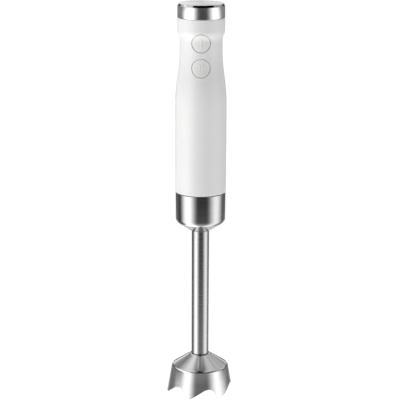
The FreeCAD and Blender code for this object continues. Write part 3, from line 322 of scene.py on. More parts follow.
def brushed_metal(name, colour, rough, depth=0.000004, vary=0.10, anisotropic=0.0):
    """Metal brushed around the axis: long fine lines in colour, gloss and height."""
    mat = Recipe(name)
    fine = mat.noise(mat.brushed_about_z(BRUSH_ALONG, BRUSH_LINES), 1.0, 3.0, 0.6)
    broad = mat.noise(mat.brushed_about_z(BRUSH_ALONG * 0.4, BRUSH_LINES * 0.12), 1.0, 2.0)
    both = mat.calc("ADD", mat.calc("MULTIPLY", fine, 0.7), mat.calc("MULTIPLY", broad, 0.3))
    dark, light = shades(colour, vary)
    mat.link(mat.worn_edges(mat.tint(both, dark, light), light, 0.4), mat.shader.inputs["Base Color"])
    mat.link(mat.spread(both, rough * 0.8, rough * 1.2), mat.shader.inputs["Roughness"])
    mat.shader.inputs["Metallic"].default_value = 1.0
    if anisotropic:
        mat.shader.inputs["Anisotropic"].default_value = anisotropic
        mat.shader.inputs["Anisotropic Rotation"].default_value = 0.25
        tangent = mat.node("ShaderNodeTangent", direction_type="RADIAL", axis="Z")
        mat.link(tangent.outputs[0], mat.shader.inputs["Tangent"])
    mat.bump(both, 0.5, depth)
    return mat.material


def plain_metal(name, colour, rough, vary=0.06):
    """Ground, plated or drawn metal with a fine irregular finish."""
    mat = Recipe(name)
    fine = mat.noise(mat.place(), GROUND_GRAIN, 4.0)
    dark, light = shades(colour, vary)
    mat.link(mat.worn_edges(mat.tint(fine, dark, light), light, 0.6), mat.shader.inputs["Base Color"])
    mat.link(mat.spread(fine, rough * 0.75, rough * 1.25), mat.shader.inputs["Roughness"])
    mat.shader.inputs["Metallic"].default_value = 1.0
    mat.bump(fine, 0.4, 0.000006)
    return mat.material


def rubber(name, colour):
    """Soft rubber: matt, with a slightly grainy skin."""
    mat = Recipe(name)
    fine = mat.noise(mat.place(), RUBBER_GRAIN, 3.0)
    light = tuple(c * 1.6 for c in colour)
    mat.link(mat.tint(fine, colour, light), mat.shader.inputs["Base Color"])
    mat.link(mat.spread(fine, 0.62, 0.8), mat.shader.inputs["Roughness"])
    mat.bump(fine, 0.5, 0.00003)
    return mat.material


def wound_copper(name, colour):
    """Enamelled wire laid side by side, as fine ridges."""
    mat = Recipe(name)
    wires = mat.node("ShaderNodeTexWave", wave_type="BANDS", bands_direction="DIAGONAL")
    wires.inputs["Scale"].default_value = WIRE_LINES
    wires.inputs["Distortion"].default_value = 1.5
    mat.link(mat.place(), wires.inputs["Vector"])
    dark = tuple(c * 0.55 for c in colour)
    mat.link(mat.tint(wires.outputs["Fac"], dark, colour), mat.shader.inputs["Base Color"])
    mat.shader.inputs["Metallic"].default_value = 0.8
    mat.shader.inputs["Roughness"].default_value = 0.32
    mat.bump(wires.outputs["Fac"], 0.8, 0.00015)
    return mat.material


def stacked_sheets(name, colour):
    """Thin steel sheets stacked along the axis, seen as fine dark lines."""
    mat = Recipe(name)
    lines = mat.node("ShaderNodeTexWave", wave_type="BANDS", bands_direction="Z")
    lines.inputs["Scale"].default_value = SHEET_LINES
    mat.link(mat.place(), lines.inputs["Vector"])
    dark = tuple(c * 0.4 for c in colour)
    mat.link(mat.tint(lines.outputs["Fac"], dark, colour), mat.shader.inputs["Base Color"])
    mat.shader.inputs["Metallic"].default_value = 1.0
    mat.shader.inputs["Roughness"].default_value = 0.45
    mat.bump(lines.outputs["Fac"], 0.6, 0.0001)
    return mat.material


def make_materials():
    """The record's material slots, and the dial's bevel, which is a second finish on the dial's ring."""
    return {
        "white_shell": plastic("white_shell", (0.85, 0.85, 0.845), 0.32, vary=0.008),
        "button_white": plastic("button_white", (0.84, 0.84, 0.835), 0.32, vary=0.008),
        "dial_metal": brushed_metal("dial_metal", grey(0.70), 0.21, vary=0.03),
        "dial_bevel": brushed_metal("dial_bevel", grey(0.55), 0.05, vary=0.02, depth=0.0000005),
        "dial_face": brushed_metal("dial_face", grey(0.62), 0.32, vary=0.06, anisotropic=0.5),
        "collar_steel": brushed_metal("collar_steel", grey(0.43), 0.17, vary=0.08),
        "tube_steel": brushed_metal("tube_steel", grey(0.43), 0.24, vary=0.05),
        "guard_steel": brushed_metal("guard_steel", grey(0.63), 0.18, vary=0.06, anisotropic=0.3),
        "blade_steel": plain_metal("blade_steel", grey(0.60), 0.22),
        "shaft_steel": brushed_metal("shaft_steel", grey(0.58), 0.20),
        "dark_plastic": plastic("dark_plastic", (0.035, 0.035, 0.037), 0.42, vary=0.15),
        "grey_plastic": plastic("grey_plastic", (0.30, 0.31, 0.32), 0.45, vary=0.06),
        "rubber_black": rubber("rubber_black", (0.02, 0.02, 0.021)),
        "bronze": plain_metal("bronze", (0.48, 0.31, 0.15), 0.38, vary=0.2),
        "copper": wound_copper("copper", (0.62, 0.26, 0.12)),
        "brass": plain_metal("brass", (0.70, 0.52, 0.22), 0.28),
        "can_steel": brushed_metal("can_steel", (0.50, 0.51, 0.50), 0.30),
        "core_steel": stacked_sheets("core_steel", grey(0.32)),
        "magnet": plastic("magnet", (0.05, 0.05, 0.055), 0.6, vary=0.25),
        "carbon": plastic("carbon", (0.02, 0.02, 0.02), 0.5, vary=0.3),
        "screw_steel": plain_metal("screw_steel", (0.66, 0.66, 0.62), 0.3),
        "spring_steel": plain_metal("spring_steel", grey(0.58), 0.25),
        "board_green": plastic("board_green", (0.02, 0.16, 0.06), 0.4, vary=0.2),
        "component_yellow": plastic("component_yellow", (0.62, 0.42, 0.05), 0.3),
        "component_black": plastic("component_black", (0.02, 0.02, 0.02), 0.35, vary=0.2),
        "sink_aluminium": plain_metal("sink_aluminium", grey(0.72), 0.35),
    }


def polish_bevel(ring):
    """Give the sloping bevel and the narrow flat above it the ring's second material."""
    bevel_foot = DIAL_TOP - BEVEL_HEIGHT - 0.02
    for face in ring.data.polygons:
        out = math.hypot(face.center.x, face.center.y)
        if face.center.z > bevel_foot * MM and out > INLAY_RADIUS * MM:
            face.material_index = 1


def finish_with(piece, *materials):
    """Put these materials on a piece in place of what it has."""
    piece.data.materials.clear()
    for material in materials:
        piece.data.materials.append(material)


# ---- handle -----------------------------------------------------------------------------------------------

PATCH_HALF_HEIGHT = 12.0    # half the height of the surface patch that holds one button hole
PATCH_HALF_TURN = 35.0      # half the patch's width, in degrees around the axis
PATCH_SIDE = 48             # quads along each upright side of a patch
PATCH_RINGS = 10            # rings of quads between a patch's border and its hole
PATCH_CROWDING = 1.3        # above 1, those rings crowd towards the hole
HOLE_LIP = 0.2              # rounding of a hole's edge
LIP_STEPS = 4               # quads across that rounding
SKIN_STEP = 0.75            # height of a row of quads above the patches; below them it is twice this
SKIN_TOP_GAP = 0.4          # the least height left between the last of those rows and the skin's top
INNER_EVERY = 3             # the inner wall has every third row of the outer skin
FOOT_ROUND, RIM_ROUND = 0.9, 0.3
FOOT_INNER_HEIGHT = 20.0    # how far up the section's first point lies on the inner wall


def shell_point(x, z, sink=0.0):
    """The point of the handle's front surface at x and z, pushed in by sink."""
    radius = shell_radius(z)
    return (x, -math.sqrt(max(radius * radius - x * x, 0.0)) + sink, z)


def skin_heights():
    """Heights of the outer skin's rows, and the number of the row where the lower patch starts."""
    patches_low = min(BUTTON_HEIGHTS.values()) - PATCH_HALF_HEIGHT
    patches_top = max(BUTTON_HEIGHTS.values()) + PATCH_HALF_HEIGHT
    heights = []
    z = SHELL_BOTTOM + FOOT_ROUND
    while z < patches_low - SKIN_STEP:
        heights.append(z)
        z += 2 * SKIN_STEP
    first = len(heights)
    patch_step = 2 * PATCH_HALF_HEIGHT / PATCH_SIDE
    # the upper patch starts where the lower one ends
    heights += [patches_low + patch_step * k for k in range(len(BUTTON_HEIGHTS) * PATCH_SIDE + 1)]
    z = patches_top + SKIN_STEP
    while z < SHELL_TOP - SKIN_TOP_GAP:
        heights.append(z)
        z += SKIN_STEP
    return heights, first


def skin_profile(heights):
    """The handle's closed section as (radius, height) points, and how many come before the outer skin."""
    inner_rim = RIM_RADIUS - SHELL_WALL
    inner_crown = CROWN_RADIUS - SHELL_WALL
    # the inner wall's rows reach below the foot's first point, so the section doubles back between them
    foot = rounded([
        (inner_rim, SHELL_BOTTOM + FOOT_INNER_HEIGHT), (inner_rim, SHELL_BOTTOM, RIM_ROUND),
        (RIM_RADIUS, SHELL_BOTTOM, FOOT_ROUND), (shell_radius(heights[0]), heights[0])])[:-1]
    outer = [(shell_radius(z), z) for z in heights]
    crown = rounded([
        (CROWN_RADIUS, heights[-1]), (CROWN_RADIUS, SHELL_TOP, RIM_ROUND),
        (inner_crown, SHELL_TOP, RIM_ROUND), (inner_crown, CROWN_Z)])[1:]
    inner = [(shell_radius(z) - SHELL_WALL, z) for z in reversed(heights[::INNER_EVERY]) if z < CROWN_Z]
    return foot + outer + crown + inner, len(foot)


def hole_rings(border):
    """Rings of (x, z, sink) about a hole's centre: in from the border, over the lip, down to the inner wall."""
    lip_start = BUTTON_HOLE_RADIUS + HOLE_LIP
    directions = []
    for x, z in border:
        angle = math.atan2(z, x)
        directions.append((math.cos(angle), math.sin(angle)))
    rings = []
    for k in range(1, PATCH_RINGS + 1):
        share = 1 - (1 - k / PATCH_RINGS) ** PATCH_CROWDING
        rings.append([(x + (dx * lip_start - x) * share, z + (dz * lip_start - z) * share, 0.0)
                      for (x, z), (dx, dz) in zip(border, directions)])
    for k in range(1, LIP_STEPS + 1):
        angle = math.pi / 2 * k / LIP_STEPS
        reach = lip_start - HOLE_LIP * math.sin(angle)
        sink = HOLE_LIP * (1 - math.cos(angle))
        rings.append([(dx * reach, dz * reach, sink) for dx, dz in directions])
    rings.append([(dx * BUTTON_HOLE_RADIUS, dz * BUTTON_HOLE_RADIUS, SHELL_WALL) for dx, dz in directions])
    return rings


def make_handle():
    """The white sleeve as one skin: quads around, with a round hole let into the front for each button. The
    inner wall stays whole behind the holes, and the caps pass through it out of sight."""
    heights, first_patch_row = skin_heights()
    profile, foot_rows = skin_profile(heights)
    points = turned_points(profile)
    half_columns = round(PATCH_HALF_TURN * AROUND / 360)
    first_row = foot_rows + first_patch_row
    last_row = first_row + len(BUTTON_HEIGHTS) * PATCH_SIDE

    def number(row, column):
        return row * AROUND + column % AROUND

    faces = []
    for face in turned_faces(len(profile), AROUND, True):
        row, column = divmod(face[0], AROUND)
        column = column if column < AROUND / 2 else column - AROUND
        in_patch = first_row <= row < last_row and -half_columns <= column < half_columns
        if not in_patch:
            faces.append(face)
    for order, height in enumerate(sorted(BUTTON_HEIGHTS.values())):
        low = first_row + order * PATCH_SIDE
        top = low + PATCH_SIDE
        border = [number(low, column) for column in range(-half_columns, half_columns)]
        border += [number(row, half_columns) for row in range(low, top)]
        border += [number(top, column) for column in range(half_columns, -half_columns, -1)]
        border += [number(row, -half_columns) for row in range(top, low, -1)]
        last = border
        for ring in hole_rings([(points[i][0], points[i][2] - height) for i in border]):
            here = range(len(points), len(points) + len(ring))
            points.extend(shell_point(x, z + height, sink) for x, z, sink in ring)
            faces += band_faces(last, here)
            last = here
    return new_piece("handle_skin", points, faces, "handle", "white_shell", "handle_shell")


# ---- buttons ----------------------------------------------------------------------------------------------

CAP_AROUND, CAP_RINGS = 240, 90
CAP_SINK, CAP_SIDE = 0.1, 3.2           # how far below the shell's surface the cap's face and side's end lie
CAP_ROUND, CAP_ROUND_STEPS = 0.55, 8
MARK_RISE, MARK_BLEND = 0.34, 0.32      # height of the raised bars, and the width of their soft edge
# each bar is its place across, half its width and half its length
BUTTON_MARKS = {"button_1": [(0, 0.8, 4.1)], "button_2": [(-1.5, 0.6, 3.75), (1.5, 0.6, 3.75)]}


def mark_rise(marks, x, z):
    """How far the raised bars stand out of a cap at x and z."""
    best = 0.0
    for across, half_width, half_length in marks:
        past = max(abs(z) - (half_length - half_width), 0.0)
        within = half_width - math.hypot(x - across, past)
        share = min(max(within / MARK_BLEND + 0.5, 0.0), 1.0)
        best = max(best, share * share * (3 - 2 * share))
    return best * MARK_RISE


def make_button(body, marks):
    """A round cap that follows the shell, with a soft edge, raised bars and a flange behind."""
    centre = BUTTON_HEIGHTS[body]
    circle = []
    for k in range(CAP_AROUND):
        angle = 2 * math.pi * k / CAP_AROUND
        circle.append((math.cos(angle), math.sin(angle)))
    rows = [((BUTTON_RADIUS - CAP_ROUND) * k / CAP_RINGS, CAP_SINK) for k in range(1, CAP_RINGS + 1)]
    for k in range(1, CAP_ROUND_STEPS + 1):
        angle = math.pi / 2 * k / CAP_ROUND_STEPS
        rows.append((BUTTON_RADIUS - CAP_ROUND + CAP_ROUND * math.sin(angle),
                     CAP_SINK + CAP_ROUND * (1 - math.cos(angle))))
    rows.append((BUTTON_RADIUS, CAP_SIDE))
    points = [shell_point(0, centre, CAP_SINK - mark_rise(marks, 0, 0))]
    for radius, sink in rows:
        for dx, dz in circle:
            x, z = radius * dx, radius * dz
            points.append(shell_point(x, centre + z, sink - mark_rise(marks, x, z)))
    faces = [(0, 1 + k, 1 + (k + 1) % CAP_AROUND) for k in range(CAP_AROUND)]
    faces += [tuple(1 + i for i in face) for face in turned_faces(len(rows), CAP_AROUND, False)]
    below = range(len(points) - CAP_AROUND, len(points))
    for radius, deep in ((BUTTON_RADIUS, False), (BUTTON_FLANGE_RADIUS, False), (BUTTON_FLANGE_RADIUS, True)):
        above = below
        below = range(len(points), len(points) + CAP_AROUND)
        for dx, dz in circle:
            x, z = radius * dx, radius * dz
            front = shell_point(x, centre + z, SHELL_WALL + BUTTON_FLANGE_GAP)
            points.append((x, BUTTON_BACK_Y, centre + z) if deep else front)
        faces += band_faces(above, below)
    faces += [(len(points), below[k], below[(k + 1) % CAP_AROUND]) for k in range(CAP_AROUND)]
    points.append((0, BUTTON_BACK_Y, centre))
    return new_piece(body + "_face", points, faces, body, "button_white", body + "_cap")


# ---- speed dial -------------------------------------------------------------------------------------------

DIAL_WALL, DIAL_WEB_Z, DIAL_BORE = 1.55, 389.3, 4.0
DIAL_INNER_ROUND, DIAL_LIP_ROUND, DIAL_FOOT_ROUND = 0.3, 0.2, 0.35
BEVEL_ROUND = 0.12
INLAY_GAP, INLAY_ROUND = 0.05, 0.05
FACE_BORDER = 0.8       # a narrow ring of quads inside the disc's edge
AXIS_GAP = 0.02         # a disc's middle stays open by this radius, so that no face loses its width


def make_dial():
    """The satin ring with its polished bevel, and the plain brushed disc let into its top."""
    inside = DIAL_RADIUS - DIAL_WALL
    recess = INLAY_RADIUS + INLAY_GAP
    recess_z = DIAL_TOP - INLAY_DEPTH
    section = rounded([
        (DIAL_BORE, DIAL_WEB_Z), (inside, DIAL_WEB_Z, DIAL_INNER_ROUND),
        (inside, DIAL_BOTTOM, DIAL_LIP_ROUND), (DIAL_RADIUS, DIAL_BOTTOM, DIAL_FOOT_ROUND),
        (DIAL_RADIUS, DIAL_TOP - BEVEL_HEIGHT, BEVEL_ROUND),
        (DIAL_RADIUS - BEVEL_WIDTH, DIAL_TOP, BEVEL_ROUND), (recess, DIAL_TOP, INLAY_ROUND),
        (recess, recess_z), (DIAL_BORE, recess_z)])
    ring = turned("dial_metal_ring", section, "dial", "dial_metal", "dial_ring")
    section = rounded([
        (AXIS_GAP, recess_z), (INLAY_RADIUS, recess_z, INLAY_ROUND), (INLAY_RADIUS, DIAL_TOP, BEVEL_ROUND),
        (INLAY_RADIUS - FACE_BORDER, DIAL_TOP), (AXIS_GAP, DIAL_TOP)])
    disc = turned("dial_disc", section, "dial", "dial_face", "dial_top_disc")
    return ring, disc


# ---- leg --------------------------------------------------------------------------------------------------

COLLAR_WALL, COLLAR_EDGE_ROUND = 0.8, 0.38
COLLAR_FOOT_RUN, COLLAR_FOOT_RISE = 0.5, 0.1    # the narrow, nearly flat foot of the cone around the tube
FINE_ARC = 4                                    # degrees to a step of the larger roundings
TUBE_EDGE_ROUND = 0.2


def make_collar():
    """The steel cup under the handle, with its rounded shoulder and cone."""
    slope = (COLLAR_CORNER_Z - COLLAR_CONE_Z) / (COLLAR_LOWER_RADIUS - TUBE_RADIUS)
    inside_foot_z = COLLAR_CONE_Z + COLLAR_WALL * math.sqrt(1 + slope * slope)
    inside = COLLAR_LOWER_RADIUS - COLLAR_WALL
    inside_corner_z = inside_foot_z + (inside - TUBE_RADIUS) * slope
    section = rounded([
        (TUBE_RADIUS, inside_foot_z), (TUBE_RADIUS, COLLAR_CONE_Z),
        (TUBE_RADIUS + COLLAR_FOOT_RUN, COLLAR_CONE_Z + COLLAR_FOOT_RISE),
        (COLLAR_LOWER_RADIUS, COLLAR_CORNER_Z, COLLAR_ROUND), (COLLAR_RADIUS, COLLAR_TOP, COLLAR_EDGE_ROUND),
        (COLLAR_RADIUS - COLLAR_WALL, COLLAR_TOP, COLLAR_EDGE_ROUND),
        (inside, inside_corner_z, COLLAR_ROUND - COLLAR_WALL), (TUBE_RADIUS, inside_foot_z)], FINE_ARC)[:-1]
    return turned("collar", section, "leg", "collar_steel", "leg_collar")


def make_tube():
    """The drawn steel tube."""
    inside = TUBE_RADIUS - TUBE_WALL
    middle_z = (TUBE_TOP + TUBE_BOTTOM) / 2
    section = rounded([
        (inside, middle_z), (inside, TUBE_BOTTOM, TUBE_EDGE_ROUND),
        (TUBE_RADIUS, TUBE_BOTTOM, TUBE_EDGE_ROUND), (TUBE_RADIUS, TUBE_TOP, TUBE_EDGE_ROUND),
        (inside, TUBE_TOP, TUBE_EDGE_ROUND), (inside, middle_z)])[:-1]
    return turned("tube", section, "leg", "tube_steel", "leg_tube")


# ---- blade guard ------------------------------------------------------------------------------------------

GUARD_AROUND = 1440
GUARD_INNER_NECK_ROUND, GUARD_NECK_ROUND, GROOVE_ROUND = 1.0, 0.6, 0.15
WALL_START = 13.5               # above this height the guard is turned; below it the rows follow the teeth
TOOTH_EDGE = 0.22               # rounding of a tooth's edge
EDGE_STEPS = 3                  # quads across the rounding, on each side of the wall
WALL_ROWS = 14                  # rows of quads from the teeth up to the turned part
WALL_CROWDING = 0.8             # below 1, those rows crowd towards the teeth


def on_arc(across, left, right, bend):
    """The height at a place on an upward-bulging arc between two points."""
    (x0, z0), (x1, z1) = left, right
    chord = math.hypot(x1 - x0, z1 - z0)
    reach = math.sqrt(bend * bend - chord * chord / 4) / chord
    centre_x = (x0 + x1) / 2 + (z1 - z0) * reach
    centre_z = (z0 + z1) / 2 - (x1 - x0) * reach
    return centre_z + math.sqrt(max(bend * bend - (across - centre_x) ** 2, 0.0))


def gap_height(across):
    """The height of the opening between two teeth, at a distance across the gap's own axis."""
    ramp_angle = math.atan2(RAMP_RISE, RAMP_RUN)
    ramp_tangent = RAMP_ROUND * math.tan(ramp_angle / 2)
    ramp_start, ramp_end = -RAMP_FOOT - ramp_tangent, -RAMP_FOOT + RAMP_RUN
    crest = ramp_end + CREST_RUN
    drop = (crest + DROP_RUN, TOOTH_HEIGHT - DROP_FALL)
    drop_angle = math.atan2(drop[1], DROP_FOOT - drop[0])
    drop_tangent = DROP_ROUND * math.tan(drop_angle / 2)
    drop_end = DROP_FOOT + drop_tangent
    if across <= ramp_start or across >= drop_end:
        return 0.0
    if across < -RAMP_FOOT + ramp_tangent * math.cos(ramp_angle):
        return RAMP_ROUND - math.sqrt(max(RAMP_ROUND ** 2 - (across - ramp_start) ** 2, 0.0))
    if across < ramp_end:
        return (across + RAMP_FOOT) * RAMP_RISE / RAMP_RUN
    if across < crest:
        return on_arc(across, (ramp_end, RAMP_RISE), (crest, TOOTH_HEIGHT), CREST_BEND)
    if across < drop[0]:
        return on_arc(across, (crest, TOOTH_HEIGHT), drop, DROP_BEND)
    if across < DROP_FOOT - drop_tangent * math.cos(drop_angle):
        return (DROP_FOOT - across) * math.tan(drop_angle)
    return DROP_ROUND - math.sqrt(max(DROP_ROUND ** 2 - (across - drop_end) ** 2, 0.0))


def edge_height(angle, radius):
    """The height of the guard's toothed edge at an angle about the axis and a radius."""
    first_gap = math.radians(TOOTH_GAP_CENTRE)
    gap = first_gap + round((angle - first_gap) * TOOTH_COUNT / (2 * math.pi)) * 2 * math.pi / TOOTH_COUNT
    return gap_height(radius * math.sin(angle - gap))


def make_guard():
    """The pressed guard: the skin is turned, and its lower rows follow the teeth."""
    flare = (GUARD_RIM_RADIUS - GUARD_SHOULDER_RADIUS) / GUARD_SHOULDER_Z
    cone = (GUARD_NECK_Z - GUARD_SHOULDER_Z) / (GUARD_SHOULDER_RADIUS - GUARD_NECK_RADIUS)
    skin_in = GUARD_WALL * math.sqrt(1 + flare * flare)
    inside_top = GUARD_NECK_Z - GUARD_WALL * math.sqrt(1 + cone * cone)
    # where the inner wall meets the inner cone
    corner_z = (inside_top - (GUARD_RIM_RADIUS - skin_in - GUARD_NECK_RADIUS) * cone) / (1 - cone * flare)
    corner_radius = GUARD_RIM_RADIUS - skin_in - corner_z * flare
    upper = rounded([
        (GUARD_RIM_RADIUS - skin_in - WALL_START * flare, WALL_START),
        (corner_radius, corner_z, GUARD_ROUND - GUARD_WALL),
        (GUARD_NECK_RADIUS, inside_top, GUARD_INNER_NECK_ROUND), (TUBE_RADIUS, inside_top),
        (TUBE_RADIUS, GROOVE_FLOOR), (GROOVE_RADIUS, GROOVE_FLOOR, GROOVE_ROUND),
        (GROOVE_RADIUS, LIP_TOP, LIP_ROUND), (LIP_RADIUS, LIP_TOP, LIP_ROUND),
        (GUARD_NECK_RADIUS, GUARD_NECK_Z, GUARD_NECK_ROUND),
        (GUARD_SHOULDER_RADIUS, GUARD_SHOULDER_Z, GUARD_ROUND),
        (GUARD_RIM_RADIUS - WALL_START * flare, WALL_START)], FINE_ARC)

    def wall_row(depth, lift, share):
        """Points at a depth into the wall, 0 on the outer skin and 1 on the inner. Lift raises them off the
        toothed edge, and share is how far up they are from there to WALL_START."""
        row = []
        for k in range(GUARD_AROUND):
            angle = 2 * math.pi * k / GUARD_AROUND
            base = GUARD_RIM_RADIUS - skin_in * depth
            low = edge_height(angle, base - edge_height(angle, base) * flare) + lift
            height = low + (WALL_START - low) * share
            row.append(turned_point(base - height * flare, angle, height))
        return row

    shares = [1 - (k / WALL_ROWS) ** WALL_CROWDING for k in range(1, WALL_ROWS)]
    lower = [wall_row(0.0, TOOTH_EDGE, share) for share in shares]
    lower.append(wall_row(0.0, TOOTH_EDGE, 0.0))
    for k in range(1, EDGE_STEPS + 1):
        angle = math.pi / 2 * k / EDGE_STEPS
        depth = TOOTH_EDGE * (1 - math.cos(angle)) / skin_in
        lower.append(wall_row(depth, TOOTH_EDGE * (1 - math.sin(angle)), 0.0))
    for k in range(EDGE_STEPS):
        angle = math.pi / 2 * k / EDGE_STEPS
        depth = 1 - TOOTH_EDGE * (1 - math.sin(angle)) / skin_in
        lower.append(wall_row(depth, TOOTH_EDGE * (1 - math.cos(angle)), 0.0))
    lower.append(wall_row(1.0, TOOTH_EDGE, 0.0))
    lower += [wall_row(1.0, TOOTH_EDGE, share) for share in reversed(shares)]
    points = turned_points(upper, GUARD_AROUND)
    for row in lower:
        points.extend(row)
    faces = turned_faces(len(upper) + len(lower), GUARD_AROUND, True)
    return new_piece("guard", points, faces, "leg", "guard_steel", "blade_guard")


# ---- studio -----------------------------------------------------------------------------------------------

CAMERA_PLACE = (-0.54, -1661.3, 595.0)      # millimetres
CAMERA_PITCH, CAMERA_ROLL = 13.458, 0.22    # degrees below level, and about the line of sight
LENS_LENGTH, SENSOR_WIDTH = 155.5, 36.0
CAMERA_REACH = 100.0                        # metres
FLOOR_DROP = 46.0                           # millimetres from the teeth down to the floor
FLOOR_HALF = 12.0                           # metres
FLOOR_GREY, FLOOR_GLOW, BACKDROP_GLOW = 0.20, 0.95, 1.05


def make_camera():
    """A long lens in front and above, looking slightly down."""
    data = bpy.data.cameras.new("camera")
    data.sensor_width = SENSOR_WIDTH
    data.lens = LENS_LENGTH
    data.clip_end = CAMERA_REACH
    camera = bpy.data.objects.new("camera", data)
    bpy.context.collection.objects.link(camera)
    pitch, roll = math.radians(CAMERA_PITCH), math.radians(CAMERA_ROLL)
    ahead = Vector((0, math.cos(pitch), -math.sin(pitch)))
    right = Vector((1, 0, 0))
    up = right.cross(ahead)
    tilted_right = right * math.cos(roll) + up * math.sin(roll)
    tilted_up = up * math.cos(roll) - right * math.sin(roll)
    turn = Matrix((tilted_right, tilted_up, -ahead)).transposed()
    camera.matrix_world = Matrix.Translation(Vector(CAMERA_PLACE) * MM) @ turn.to_4x4()
    bpy.context.scene.camera = camera


def make_floor():
    """A plain pale floor, low enough for the leg to stay in sight when it is pulled out."""
    mesh = bpy.data.meshes.new("floor")
    corners = [(-1, -1), (1, -1), (1, 1), (-1, 1)]
    mesh.from_pydata([(x * FLOOR_HALF, y * FLOOR_HALF, 0) for x, y in corners], [], [(0, 1, 2, 3)])
    floor = bpy.data.objects.new("floor", mesh)
    bpy.context.collection.objects.link(floor)
    floor.location.z = -FLOOR_DROP * MM
    mat = Recipe("floor")
    mat.shader.inputs["Base Color"].default_value = (FLOOR_GREY, FLOOR_GREY, FLOOR_GREY, 1)
    mat.shader.inputs["Roughness"].default_value = 0.9
    mat.shader.inputs["Specular IOR Level"].default_value = 0.0
    mat.shader.inputs["Emission Color"].default_value = (1, 1, 1, 1)
    mat.shader.inputs["Emission Strength"].default_value = FLOOR_GLOW
    finish_with(floor, mat.material)
    floor.visible_diffuse = False
    floor.visible_glossy = False
    floor.visible_shadow = False
    floor.visible_transmission = False


class Sky(NodeMaths):
    """Maths on the direction that light comes from. Heading is 0 towards the front of the blender and grows
    to its right, and height is the angle above the horizon, both in degrees."""

    def __init__(self, tree):
        super().__init__(tree)
        split = self.node("ShaderNodeSeparateXYZ")
        self.link(self.node("ShaderNodeTexCoord").outputs["Generated"], split.inputs[0])
        self.x, y, z = split.outputs
        degrees = 180 / math.pi
        self.heading = self.times(self.calc("ARCTAN2", self.x, self.times(y, -1.0)), degrees)
        self.height = self.times(self.calc("ARCSINE", z), degrees)
        self.to_left = self.times(self.heading, -1.0)
        self.turned_away = self.calc("ABSOLUTE", self.heading)
        self.off_middle = self.calc("ABSOLUTE", self.x)

    def times(self, *values):
        product = values[0]
        for value in values[1:]:
            product = self.calc("MULTIPLY", product, value)
        return product

    def plus(self, *values):
        total = values[0]
        for value in values[1:]:
            total = self.calc("ADD", total, value)
        return total

    def above(self, value, edge, softness):
        """0 below an edge and 1 above it."""
        past = self.calc("DIVIDE", self.calc("SUBTRACT", value, edge), softness)
        return self.calc("ADD", past, 0.5, clamp=True)

    def below(self, value, edge, softness):
        """1 below an edge and 0 above it."""
        return self.calc("SUBTRACT", 1.0, self.above(value, edge, softness))

    def between(self, value, low, low_softness, high, high_softness):
        """1 between two edges and 0 outside them."""
        return self.times(self.above(value, low, low_softness), self.below(value, high, high_softness))

    def soft_box(self, centre, half_width, strength):
        """A panel brightest along its middle and fading as a squared cosine to both edges."""
        away = self.calc("ABSOLUTE", self.calc("SUBTRACT", self.heading, centre))
        off = self.calc("MINIMUM", self.calc("DIVIDE", away, half_width), 1.0)
        fade = self.calc("COSINE", self.times(off, math.pi / 2))
        return self.times(fade, fade, strength)


# In the panels below every edge is followed by its softness, and a product's last number is its strength.

def side_boxes(sky):
    """A tall soft box on each side. The dial sees them wider, and the guard narrower and further forward."""
    dial_zone = sky.between(sky.height, -9.0, 4.0, -5.4, 3.0)
    guard_zone = sky.above(sky.height, -5.4, 3.0)

    def zoned(usual, change_at_dial, change_at_guard):
        """A value that changes by so much in each zone."""
        return sky.plus(sky.times(dial_zone, change_at_dial), sky.times(guard_zone, change_at_guard), usual)

    left = sky.soft_box(zoned(-62.0, -5.0, 13.0), zoned(50.0, 14.0, -14.0), zoned(3.3, 0.0, -1.2))
    right = sky.soft_box(zoned(78.0, -3.0, -12.0), zoned(50.0, 6.0, -9.0), zoned(2.45, 0.0, -0.45))
    left = sky.times(left, sky.below(sky.height, 27.0, 6.0))
    right = sky.times(right, sky.below(sky.height, 22.0, 6.0))
    return [left, right]


def upper_panels(sky):
    """Panels over the boxes: one at the left, sloping ones at the sides, high ones, and the ceiling."""
    upper_left = sky.times(sky.soft_box(-72.0, 45.0, 2.1), sky.between(sky.height, 9.0, 4.0, 28.0, 6.0))
    sloping = sky.between(sky.height, 12.0, 6.0, 30.0, 6.0)
    side_left = sky.times(sloping, sky.between(sky.to_left, 92.0, 6.0, 128.0, 8.0), 0.8)
    side_right = sky.times(sloping, sky.between(sky.heading, 92.0, 6.0, 128.0, 8.0), 0.6)
    high = sky.between(sky.height, 27.0, 6.0, 50.0, 6.0)
    high_left = sky.times(high, sky.between(sky.to_left, 47.0, 3.0, 120.0, 6.0), 1.25)
    high_right = sky.times(high, sky.between(sky.heading, 72.0, 3.0, 120.0, 12.0), 0.6)
    ceiling = sky.times(sky.above(sky.height, 51.0, 18.0), sky.above(sky.off_middle, 0.20, 0.18))
    stronger_left = sky.plus(sky.times(sky.above(sky.times(sky.x, -1.0), 0.0, 0.1), 0.35), 1.0)
    return [upper_left, side_left, side_right, high_left, high_right, sky.times(ceiling, stronger_left)]


def rear_panels(sky):
    """A panel behind, a dimmer one behind to the left, and the flanks between them and the boxes."""
    behind = sky.times(sky.above(sky.turned_away, 157.0, 14.0),
                       sky.between(sky.height, 0.0, 4.0, 30.0, 10.0), 1.2)
    rear_left = sky.times(sky.above(sky.to_left, 152.0, 8.0),
                          sky.between(sky.height, 4.0, 4.0, 50.0, 8.0), 0.35)
    flank = sky.between(sky.turned_away, 116.0, 14.0, 160.0, 10.0)
    low = sky.times(flank, sky.below(sky.height, -11.0, 4.0), 0.14)
    level = sky.times(flank, sky.between(sky.height, -11.0, 4.0, 6.0, 8.0), 0.33)
    stronger_right = sky.plus(sky.times(sky.above(sky.x, 0.0, 0.1), 0.37), 0.38)
    high = sky.times(flank, sky.between(sky.height, 20.0, 6.0, 50.0, 8.0), stronger_right)
    return [behind, rear_left, low, level, high]


